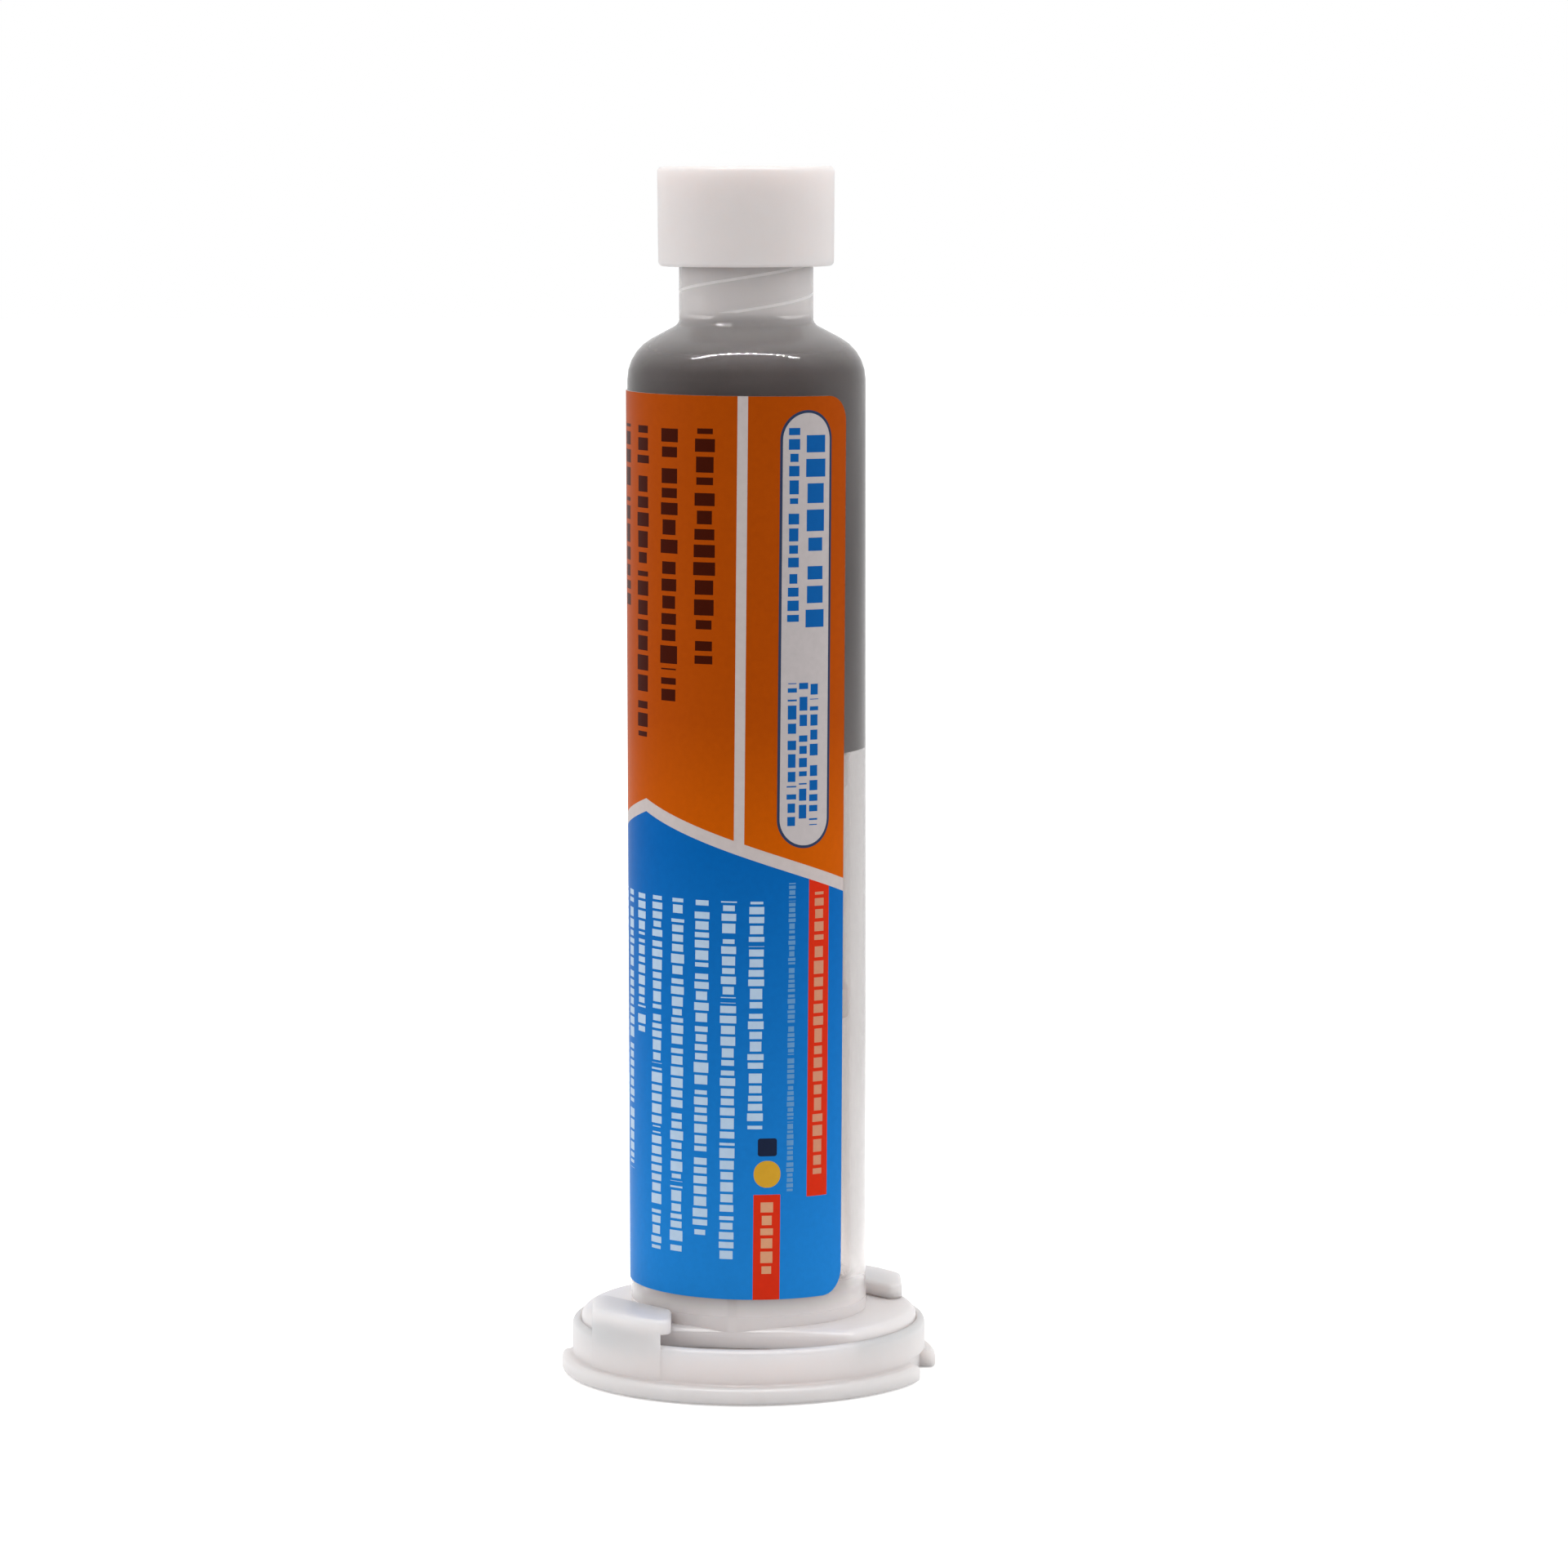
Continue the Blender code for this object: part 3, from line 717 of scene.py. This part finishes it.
# A helical band on the thread's ridges: milkier where the plastic is thicker, and also a painted
# highlight.
ridge_clear_with_highlight = add_node(tree, "MapRange", SMOOTH,
                       {"Value": from_ridge, "From Min": RIDGE_CREST, "From Max": RIDGE_FOOT,
                        "To Min": 1 - MILK_AND_HIGHLIGHT_IN_THREAD, "To Max": 1.0})
flat = add_node(tree, "VectorMath", {"operation": "MULTIPLY"}, {0: place, 1: (1, 1, 0)})
radius = add_node(tree, "VectorMath", {"operation": "LENGTH"}, {0: flat}).outputs[1]
thread_clear_with_highlight = ridge_clear_with_highlight
for test, value, limit in (
    ("LESS_THAN", height, wall_low), ("GREATER_THAN", height, wall_high),
    ("LESS_THAN", radius, COLLAR_BORE - THREAD_DEPTH - 0.1 * MM),
):
    beyond = add_node(tree, "Math", {"operation": test}, {0: value, 1: limit})
    thread_clear_with_highlight = add_node(tree, "Math", {"operation": "MAXIMUM"}, {0: thread_clear_with_highlight, 1: beyond})
base_clear = add_node(tree, "Math", {"operation": "MINIMUM"}, {0: flange_clear, 1: collar_clear})
clear = add_node(tree, "Math", {"operation": "MINIMUM"}, {0: base_clear, 1: thread_clear_with_highlight})
milk = add_node(tree, "MapRange", inputs={
    "Value": clear, "From Min": 1 - MILK_AT_FLANGE, "From Max": 1 - MILK_IN_TUBE,
    "To Min": 1.0, "To Max": 0.0})
mixed = add_node(tree, "Mix", RGBA, {0: milk, 6: tint.outputs[2], 7: colour("#EFE9E8")})
# The band on the thread's ridges is painted whiter: a painted highlight.
ridge_highlight_tint = add_node(tree, "Mix", RGBA,
                  {0: thread_clear_with_highlight, 6: colour("#F2EEEC"), 7: mixed.outputs[2]})
gloss = add_node(tree, "MapRange", inputs={
    "Value": milk, "From Min": 0.5, "From Max": 1.0, "To Min": 0.07, "To Max": 0.34})
connect(tree, shader, {
    "Base Color": ridge_highlight_tint.outputs[2], "Roughness": gloss, "Normal": bump, "Transmission Weight": clear,
    "Subsurface Weight": 1.0, "Subsurface Radius": (1.0, 0.95, 0.9), "Subsurface Scale": 1.5 * MM,
    "IOR": POLYPROPYLENE_IOR, "Specular IOR Level": 0.5})
print(clear_pp.name, "with", len(tree.nodes), "nodes")

# %% [markdown]
# **Milky polypropylene, injection moulded.** The caps have thicker walls and no clarifier, so light
# scatters inside them and edges glow softly. The skin is satin, with a fine even texture, which is
# drawn coarser than the real one so that it shows.

# %% Material: milky polypropylene
SATIN_GRAIN = 0.25 * MM
FLOW_LENGTH = 5.0 * MM


def milky_polypropylene(name, light, dark, depth):
    """Scattering plastic whose whiteness drifts with the melt's flow; depth is how far light goes."""
    material, tree, shader, place = new_material(name)
    flow = add_node(tree, "TexNoise", inputs={"Vector": place, "Scale": 1 / FLOW_LENGTH, "Detail": 3})
    tint = add_node(tree, "Mix", RGBA, {0: flow, 6: colour(dark), 7: colour(light)})
    grain = add_node(tree, "TexNoise", inputs={"Vector": place, "Scale": 1 / SATIN_GRAIN, "Detail": 2})
    bump = add_node(tree, "Bump", inputs={"Height": grain, "Strength": 0.12, "Distance": 0.02 * MM})
    gloss = add_node(tree, "MapRange", inputs={"Value": flow, "To Min": 0.3, "To Max": 0.42})
    connect(tree, shader, {
        "Base Color": tint.outputs[2], "Roughness": gloss, "Normal": bump, "Transmission Weight": 0.2,
        "Subsurface Weight": 1.0, "Subsurface Radius": (1.0, 0.9, 0.85), "Subsurface Scale": depth,
        "IOR": POLYPROPYLENE_IOR})
    return material


cap_pp = milky_polypropylene("milky_polypropylene_tip_cap", "#F4EBE9", "#EDE4E2", 2.0 * MM)
foot_pp = milky_polypropylene("milky_polypropylene_end_cap", "#E8E0DE", "#E0D8D6", 4.0 * MM)
print(cap_pp.name, "and", foot_pp.name)

# %% [markdown]
# **White polyethylene, moulded.** The wiper is a waxy, slightly warm white, softer in gloss than the
# polypropylene.

# %% Material: white polyethylene
WAX_CLOUD = 2.0 * MM

white_pe, tree, shader, place = new_material("white_polyethylene_moulded")
wax = add_node(tree, "TexNoise", inputs={"Vector": place, "Scale": 1 / WAX_CLOUD, "Detail": 3})
tint = add_node(tree, "Mix", RGBA, {0: wax, 6: colour("#D8D4D0"), 7: colour("#E0DCD9")})
bump = add_node(tree, "Bump", inputs={"Height": wax, "Strength": 0.2, "Distance": 0.03 * MM})
connect(tree, shader, {
    "Base Color": tint.outputs[2], "Normal": bump, "Roughness": 0.48,
    "Subsurface Weight": 0.4, "Subsurface Scale": 1.0 * MM})
print(white_pe.name)

# %% [markdown]
# **Solder paste.** Tin and lead beads of about 30 micrometres in a sticky flux: a dense warm grey
# with a faint sparkle. The beads are too fine to draw, so the grain is drawn about ten times
# coarser, and a slower noise gives the streaks that filling the barrel leaves on the wall.

# %% Material: solder paste
BEAD_GRAIN = 0.3 * MM
STREAK = 4.0 * MM
STREAK_STRETCH = 0.35
BEADS_IN_TINT = 0.35

paste_grey, tree, shader, place = new_material("solder_paste_grey")
beads = add_node(tree, "TexNoise", inputs={"Vector": place, "Scale": 1 / BEAD_GRAIN, "Detail": 3})
streak_place = add_node(tree, "Mapping", inputs={"Vector": place, "Scale": (1.0, 1.0, STREAK_STRETCH)})
streaks = add_node(tree, "TexNoise", inputs={"Vector": streak_place, "Scale": 1 / STREAK, "Detail": 3})
blend = add_node(tree, "Mix", inputs={0: BEADS_IN_TINT, 2: streaks, 3: beads})
tint = add_node(tree, "Mix", RGBA, {0: blend, 6: colour("#39302F"), 7: colour("#4F4544")})
bump = add_node(tree, "Bump", inputs={"Height": beads, "Strength": 0.3, "Distance": 0.03 * MM})
connect(tree, shader, {
    "Base Color": tint.outputs[2], "Normal": bump, "Metallic": 0.15, "Roughness": 0.5})
print(paste_grey.name)

# %% [markdown]
# **The printed film.** The print is drawn from plain shapes on the label's own millimetre grid: an
# orange field over a blue one, each a little lighter at its foot, with a white chevron border between
# them, a white upright rule, a white pill with a dark outline, two red strips, a yellow dot, a dark
# square, and rows of plain blocks where a real label has its lines of text. A rounded rectangle is
# one distance formula: how far a point lies outside a smaller rectangle, compared with the corner's
# radius.

# %% Shapes of the print
LETTER_GAP = 0.13
WORD_GAP = 0.22
BLOCK_HALVES = (0.34, 0.54)
LETTER_SEED = 31.7
WORD_SEED = 17.3
UNEVENNESS = 0.7


def box_mask(tree, grid, centre, size, corner):
    """1 inside a rounded rectangle on the print's grid, all in millimetres."""
    inner = (size[0] / 2 - corner, size[1] / 2 - corner, 1.0)
    moved = add_node(tree, "VectorMath", {"operation": "SUBTRACT"}, {0: grid, 1: (*centre, 0)})
    mirrored = add_node(tree, "VectorMath", {"operation": "ABSOLUTE"}, {0: moved})
    beyond = add_node(tree, "VectorMath", {"operation": "SUBTRACT"}, {0: mirrored, 1: inner})
    outside = add_node(tree, "VectorMath", {"operation": "MAXIMUM"}, {0: beyond, 1: (0, 0, 0)})
    distance = add_node(tree, "VectorMath", {"operation": "LENGTH"}, {0: outside})
    return add_node(tree, "Math", {"operation": "LESS_THAN"}, {0: distance.outputs[1], 1: corner})


def print_rows(tree, across, along, first, pitch, height, start, lengths, letter, word):
    """1 on rows of plain blocks that stand for text.

    The first row's centre, the pitch from row to row, a block's height, where all rows start, how
    long each row is, and the mean length of a letter's block and of a word.
    """
    rows = add_node(tree, "MapRange", {"clamp": False}, {
        "Value": across, "From Min": first + pitch / 2, "From Max": first - pitch / 2})
    row = add_node(tree, "Math", {"operation": "FLOOR"}, {0: rows})
    share = add_node(tree, "Math", {"operation": "FRACT"}, {0: rows})
    shifted = []
    for mean, seed in ((letter, LETTER_SEED), (word, WORD_SEED)):
        shift = add_node(tree, "Math", {"operation": "MULTIPLY"}, {0: row, 1: seed})
        shifted.append(add_node(tree, "Math", {"operation": "MULTIPLY_ADD"},
                                {0: along, 1: 1 / mean, 2: shift}))
    in_letters, in_words = shifted
    letter_edge, word_edge, letter_number = [
        add_node(tree, "TexVoronoi", {"voronoi_dimensions": "1D", "feature": feature},
                 {"W": position, "Scale": 1.0, "Randomness": UNEVENNESS}).outputs[output]
        for position, feature, output in (
            (in_letters, "DISTANCE_TO_EDGE", "Distance"), (in_words, "DISTANCE_TO_EDGE", "Distance"),
            (in_letters, "F1", "Color"))]
    low, high = [half * height / pitch for half in BLOCK_HALVES]
    tall = add_node(tree, "MapRange", inputs={"Value": letter_number, "To Min": low, "To Max": high})

    stops = [(i / len(lengths), length / max(lengths)) for i, length in enumerate(lengths)]
    part_way = add_node(tree, "Math", {"operation": "DIVIDE"}, {0: rows, 1: len(lengths)})
    ramp = add_node(tree, "ValToRGB", inputs={0: part_way})
    ramp.color_ramp.interpolation = "CONSTANT"
    for i, (position, level) in enumerate(stops):
        stop = ramp.color_ramp.elements[i] if i < 2 else ramp.color_ramp.elements.new(position)
        stop.position = position
        stop.color = (level, level, level, 1)
    run = add_node(tree, "MapRange", {"clamp": False}, {
        "Value": along, "From Min": start, "From Max": start - max(lengths)})

    mask = 1.0
    for operation, value, limits in (
        ("COMPARE", share, (0.5, tall)), ("GREATER_THAN", letter_edge, (LETTER_GAP,)),
        ("GREATER_THAN", word_edge, (WORD_GAP * letter / word,)), ("LESS_THAN", run, (ramp,)),
        ("GREATER_THAN", run, (0.0,)), ("GREATER_THAN", rows, (0.0,)),
        ("LESS_THAN", rows, (len(lengths),)),
    ):
        test = add_node(tree, "Math", {"operation": operation}, dict(enumerate((value, *limits))))
        mask = add_node(tree, "Math", {"operation": "MULTIPLY"}, {0: mask, 1: test})
    return mask


print("print shapes: rounded boxes and rows of blocks")

# %% [markdown]
# The inks lie from the bottom layer up, as a printer lays them: the blue field with its long red
# strip, the white of border and rule, the orange field, then boxes and rows of blocks. Places are in
# millimetres from the label's front centre line and from the middle of its height. A box is a centre,
# a size, a corner's radius and an ink. A group of rows is what print_rows takes, and an ink.

# %% Material: printed film
CHEVRON_PEAK = (-9.3, 3.13)
CHEVRON_SLOPE = 0.335
BORDER_HALF = 0.5
RULE_CENTRE = -0.67
RULE_WIDTH = 0.8
PILL_CENTRE = (4.54, 17.05)
PILL_SIZE = (4.6, 33.6)
PILL_OUTLINE = 0.22
PILL_INK = "#0C569B"
RED_INK = "#C62B12"
INK_MOTTLE = 0.5 * MM
FILM_RIPPLE = 6.0 * MM

printed_film, tree, shader, place = new_material("printed_film_gloss")
grid = add_node(tree, "UVMap", {"uv_map": label.data.uv_layers[0].name}).outputs[0]
axes = add_node(tree, "SeparateXYZ", inputs={0: grid})
across, along = axes.outputs[0], axes.outputs[1]

from_peak = add_node(tree, "Math", {"operation": "SUBTRACT"}, {0: across, 1: CHEVRON_PEAK[0]})
aside = add_node(tree, "Math", {"operation": "ABSOLUTE"}, {0: from_peak})
above = add_node(tree, "Math", {"operation": "MULTIPLY_ADD"}, {0: aside, 1: CHEVRON_SLOPE, 2: along})
from_border, over_border = [
    add_node(tree, "Math", {"operation": "GREATER_THAN"}, {0: above, 1: CHEVRON_PEAK[1] + edge})
    for edge in (-BORDER_HALF, BORDER_HALF)]
on_rule = add_node(tree, "Math", {"operation": "COMPARE"}, {0: across, 1: RULE_CENTRE, 2: RULE_WIDTH / 2})
orange_mask = add_node(tree, "Math", {"operation": "SUBTRACT", "use_clamp": True},
                       {0: over_border, 1: on_rule})

fields = []
for high, high_ink, low, low_ink in (
    (0.0, "#035BA5", -33.0, "#1A76C0"), (10.0, "#A54402", 0.0, "#BC5300"),
):
    fade = add_node(tree, "MapRange", inputs={"Value": along, "From Min": high, "From Max": low})
    field = add_node(tree, "Mix", RGBA, {0: fade, 6: colour(high_ink), 7: colour(low_ink)})
    fields.append(field.outputs[2])
blue, orange = fields

pill_inside = [side - 2 * PILL_OUTLINE for side in PILL_SIZE]
long_strip, *boxes = [
    (box_mask(tree, grid, centre, size, corner), colour(ink)) for centre, size, corner, ink in (
        ((5.94, -14.2), (1.9, 25.4), 0.05, RED_INK),
        ((1.74, -30.9), (2.1, 8.6), 0.05, RED_INK),
        ((1.74, -25.0), (2.1, 2.1), 1.0, "#C2932A"),
        ((1.74, -22.9), (1.5, 1.4), 0.2, "#1A2238"),
        (PILL_CENTRE, PILL_SIZE, PILL_SIZE[0] / 2 - 0.01, "#2E3A55"),
        (PILL_CENTRE, pill_inside, pill_inside[0] / 2 - 0.01, "#B5AEAE"),
    )]
rows = [(print_rows(tree, across, along, *sizes), colour(ink)) for *sizes, ink in (
    (-3.6, 3.15, 1.75, 32.4, [18.0, 21.0, 24.0, 14.5, 22.0, 17.0, 20.0], 1.4, 9.0, "#3C0F03"),
    (0.75, 2.15, 1.25, -3.8, [17.7, 28.0, 26.1, 27.6, 28.0, 10.9, 22.0, 26.0], 0.8, 5.0, "#A9BED3"),
    (3.55, 2.0, 0.6, -2.4, [24.0], 0.42, 2.6, "#5C8AB5"),
    (5.94, 2.0, 0.95, -3.2, [22.0], 1.05, 30.0, "#C08468"),
    (1.74, 2.2, 0.95, -27.2, [5.6], 1.0, 30.0, "#C8906E"),
    (5.3, 5.0, 1.75, 32.35, [15.1], 1.9, 30.0, PILL_INK),
    (3.4, 5.0, 0.95, 32.5, [14.8], 1.15, 7.0, PILL_INK),
    (5.3, 0.95, 0.8, 13.0, [11.0, 10.6, 11.0], 1.2, 3.7, PILL_INK),
)]

ink = blue
for mask, over in (long_strip, (from_border, colour("#BCB2B0")), (orange_mask, orange), *boxes, *rows):
    ink = add_node(tree, "Mix", RGBA, {0: mask, 6: ink, 7: over}).outputs[2]
mottle = add_node(tree, "TexNoise", inputs={"Vector": place, "Scale": 1 / INK_MOTTLE, "Detail": 2})
shade = add_node(tree, "MapRange", inputs={"Value": mottle, "To Min": 0.93, "To Max": 1.07})
inked = add_node(tree, "VectorMath", {"operation": "SCALE"}, {0: ink, 3: shade})
ripple = add_node(tree, "TexNoise", inputs={"Vector": place, "Scale": 1 / FILM_RIPPLE, "Detail": 1})
bump = add_node(tree, "Bump", inputs={"Height": ripple, "Strength": 0.15, "Distance": 0.1 * MM})
connect(tree, shader, {
    "Base Color": inked, "Normal": bump, "Roughness": 0.35, "Specular IOR Level": 0.03})
print(printed_film.name, "with", len(tree.nodes), "nodes")

# %% [markdown]
# **The film's back.** Bare white polyester film with a matt adhesive, seen through the clear barrel
# from inside the window and at the cut edges. The film is thin enough for daylight to come through,
# so light spreads inside it further than it is thick.

# %% Material: back of the film
GLUE_CLOUD = 1.5 * MM

film_back, tree, shader, place = new_material("white_film_back")
glue = add_node(tree, "TexNoise", inputs={"Vector": place, "Scale": 1 / GLUE_CLOUD, "Detail": 3})
tint = add_node(tree, "Mix", RGBA, {0: glue, 6: colour("#E9E6E4"), 7: colour("#F2F0EE")})
connect(tree, shader, {
    "Base Color": tint.outputs[2], "Roughness": 0.6,
    "Subsurface Weight": 1.0, "Subsurface Radius": (1.0, 1.0, 1.0), "Subsurface Scale": 0.3 * MM})

label.data.materials.append(printed_film)
label.data.materials.append(film_back)
printed_radius = FILM_INSIDE + FILM_THICKNESS * 0.8
for face in label.data.polygons:
    outer = all(label.data.vertices[i].co.xy.length > printed_radius for i in face.vertices)
    face.material_index = 0 if outer else 1
print("faces with print:", sum(face.material_index == 0 for face in label.data.polygons))

# %% [markdown]
# ## Joining the pieces to the motion
# Each fine piece takes the place of its plain solid and rides on the same body. The paste column
# is given a mesh of its own.

# %% Bodies, slots and the paste column's own mesh
for piece, material in (
    (barrel, clear_pp), (paste_fill, paste_grey), (paste_column, paste_grey),
    (piston, white_pe), (tip_cap, cap_pp), (end_cap, foot_pp),
):
    piece.data.materials.append(material)

for piece, node, body, slot in (
    (barrel, "barrel", "barrel", "clear_polypropylene"),
    (paste_fill, "solder_paste", "barrel", "solder_paste"),
    (paste_column, "solder_paste", "barrel", "solder_paste"),
    (label, "label", "barrel", "printed_film"),
    (piston, "piston", "piston", "white_polyethylene"),
    (tip_cap, "tip_cap", "tip_cap", "milky_polypropylene"),
    (end_cap, "end_cap", "end_cap", "milky_polypropylene"),
):
    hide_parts(node)
    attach(piece, body)

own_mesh(paste_column)

# %% [markdown]
# ## Floor, light and camera
# A plain white studio: a white floor and a white world. The floor glows a little for the camera, less
# near the foot, so it comes out white and still keeps the shadow. It is greyer far off, so that the
# clear plastic in front of it doesn't look like paper. In reflections and through clear plastic the
# floor's glow is weaker.

# %% Floor and backdrop
FLOOR_SIZE = 6.0
FLOOR_GLOW = 0.45
FADE_START = 0.03
FADE_END = 0.15
BOUNCE_END = 0.2
FLOOR_MIRRORED = 0.45
FLOOR_THROUGH = 0.3


def level_for_rays(tree, level, mirrored, through):
    """1 for the camera, other levels in a reflection and through a clear piece, else the first one.

    Cycles counts a refracted ray as glossy too, so its own level is set after the reflection's.
    """
    rays = add_node(tree, "LightPath").outputs
    for kind, strength in (
        ("Is Glossy Ray", mirrored), ("Is Transmission Ray", through), ("Is Camera Ray", 1.0),
    ):
        level = add_node(tree, "Mix", inputs={0: rays[kind], 2: level, 3: strength})
    return level


deselect()
bpy.ops.mesh.primitive_plane_add(size=FLOOR_SIZE, location=(0, 0, -0.1 * MM))
floor = bpy.context.object
floor.name = "floor"
floor_white = bpy.data.materials.new("floor_white")
floor_white.use_nodes = True
tree = floor_white.node_tree
tree.nodes.clear()
seen = level_for_rays(tree, 0.0, FLOOR_MIRRORED, FLOOR_THROUGH)
place = add_node(tree, "TexCoord").outputs["Object"]
far = add_node(tree, "VectorMath", {"operation": "LENGTH"}, {0: place})
fade = add_node(tree, "MapRange", SMOOTH,
                {"Value": far.outputs[1], "From Min": FADE_START, "From Max": FADE_END})
shown = add_node(tree, "MapRange", inputs={"Value": fade, "To Min": FLOOR_GLOW, "To Max": 1.0})
glow_level = add_node(tree, "Math", {"operation": "MULTIPLY"}, {0: seen, 1: shown})
bounce = add_node(tree, "MapRange", SMOOTH,
                  {"Value": far.outputs[1], "From Min": FADE_START, "From Max": BOUNCE_END})
whiteness = add_node(tree, "Mix", RGBA, {0: bounce, 6: colour("#F4F4F4"), 7: colour("#9A9A9A")})
paper = add_node(tree, "BsdfDiffuse", inputs={"Color": whiteness.outputs[2]})
glow = add_node(tree, "Emission", inputs={"Strength": glow_level})
both = add_node(tree, "AddShader", inputs={0: paper, 1: glow})
add_node(tree, "OutputMaterial", inputs={0: both})
floor.data.materials.append(floor_white)
print("floor", FLOOR_SIZE, "m across")

# %% [markdown]
# The world is the white room. The camera sees it at full white. It lights the object at a lower
# level, and a reflection finds it darker towards the camera's side, where the room is not lit. The
# lamps' light can't pass the clear wall, so what lies inside the barrel gets more from the world.

# %% World
WORLD_LEVEL = 0.71
THROUGH_LEVEL = 0.7
INSIDE_LEVEL = 1.3
MIRRORED_LEVEL = 0.8
DARK_ROOM_LEVEL = 0.25

world = bpy.data.worlds.new("studio")
bpy.context.scene.world = world
world.use_nodes = True
tree = world.node_tree
direction = add_node(tree, "TexCoord").outputs["Generated"]
sideways = add_node(tree, "SeparateXYZ", inputs={0: direction}).outputs[1]
room = add_node(tree, "MapRange", SMOOTH,
                {"Value": sideways, "From Min": -0.9, "From Max": 0.1,
                 "To Min": DARK_ROOM_LEVEL, "To Max": MIRRORED_LEVEL})
from_inside = add_node(tree, "Math", {"operation": "GREATER_THAN"},
                       {0: add_node(tree, "LightPath").outputs["Diffuse Depth"], 1: 0.5})
through = add_node(tree, "Mix", inputs={0: from_inside, 2: THROUGH_LEVEL, 3: INSIDE_LEVEL})
level = level_for_rays(tree, WORLD_LEVEL, room, through)
connect(tree, tree.nodes["Background"], {"Strength": level, "Color": (1, 1, 1, 1)})
print("world lights at", WORLD_LEVEL)

# %% [markdown]
# The lamps stand in for the walls of a light tent: large, close squares left and right, a weaker one
# above, and nothing in front, so the middle of the label stays deeper in colour than its sides.
# Their square shapes stay out of reflections. One strip of small lights over the object does only the
# opposite: it lights nothing, and draws the row of bright dots along the shoulder.

# %% Lamps
STRIP_DOTS = 17
STRIP_LENGTH = 1.04
DOT_SHARE = 0.36


def lamp(name, place, size, watts):
    """An area lamp that faces the middle of the object."""
    deselect()
    bpy.ops.object.light_add(type="AREA", location=place)
    light = bpy.context.object
    light.name = name
    light.data.shape = "RECTANGLE"
    light.data.size, light.data.size_y = size
    light.data.energy = watts
    aim = Vector((0, 0, 0.045)) - Vector(place)
    light.rotation_euler = aim.to_track_quat("-Z", "Y").to_euler()
    return light


for name, place, size, watts in (
    ("left_softbox", (-0.74, -0.1, 0.45), (1.0, 1.0), 4.1),
    ("right_softbox", (0.74, -0.1, 0.45), (1.0, 1.0), 4.1),
    ("top_softbox", (0.0, 0.3, 0.9), (0.8, 0.8), 3.8),
):
    light = lamp(name, place, size, watts)
    light.visible_glossy = light.visible_transmission = False

strip = lamp("led_strip", (0, -0.155, 0.68), (STRIP_LENGTH, STRIP_LENGTH * DOT_SHARE / STRIP_DOTS), 16.0)
strip.visible_diffuse = False
strip.data.use_nodes = True
tree = strip.data.node_tree
along = add_node(tree, "SeparateXYZ", inputs={
    0: add_node(tree, "NewGeometry").outputs["Parametric"]}).outputs[0]
cells = add_node(tree, "Math", {"operation": "MULTIPLY"}, {0: along, 1: STRIP_DOTS})
inside = add_node(tree, "Math", {"operation": "FRACT"}, {0: cells})
dot = add_node(tree, "Math", {"operation": "COMPARE"}, {0: inside, 1: 0.5, 2: DOT_SHARE / 2})
connect(tree, tree.nodes["Emission"], {"Strength": dot})
print("soft lamps 3, one strip of", STRIP_DOTS, "lights")

# %% [markdown]
# The camera stands where the photographer's did: a little over the tip's height, half a metre back,
# looking slightly down with a long lens, and with the syringe just left of the middle.

# %% Camera
CAMERA_PLACE = (0, -0.438, 0.0946)
LENS_MM = 129.4
LOOK_DOWN = math.radians(6.3)
LOOK_RIGHT = math.radians(0.374)
CAMERA_ROLL = math.radians(0.1)

deselect()
bpy.ops.object.camera_add(location=CAMERA_PLACE)
camera = bpy.context.object
camera.data.lens = LENS_MM
camera.data.sensor_width = 36
turned_right = Matrix.Rotation(-LOOK_RIGHT, 3, "Z")
tipped_down = Matrix.Rotation(math.pi / 2 - LOOK_DOWN, 3, "X")
rolled = Matrix.Rotation(-CAMERA_ROLL, 3, "Z")
camera.rotation_euler = (turned_right @ tipped_down @ rolled).to_euler()
bpy.context.scene.camera = camera
bpy.context.scene.view_settings.view_transform = "Standard"
print("camera", [round(c, 3) for c in camera.location])
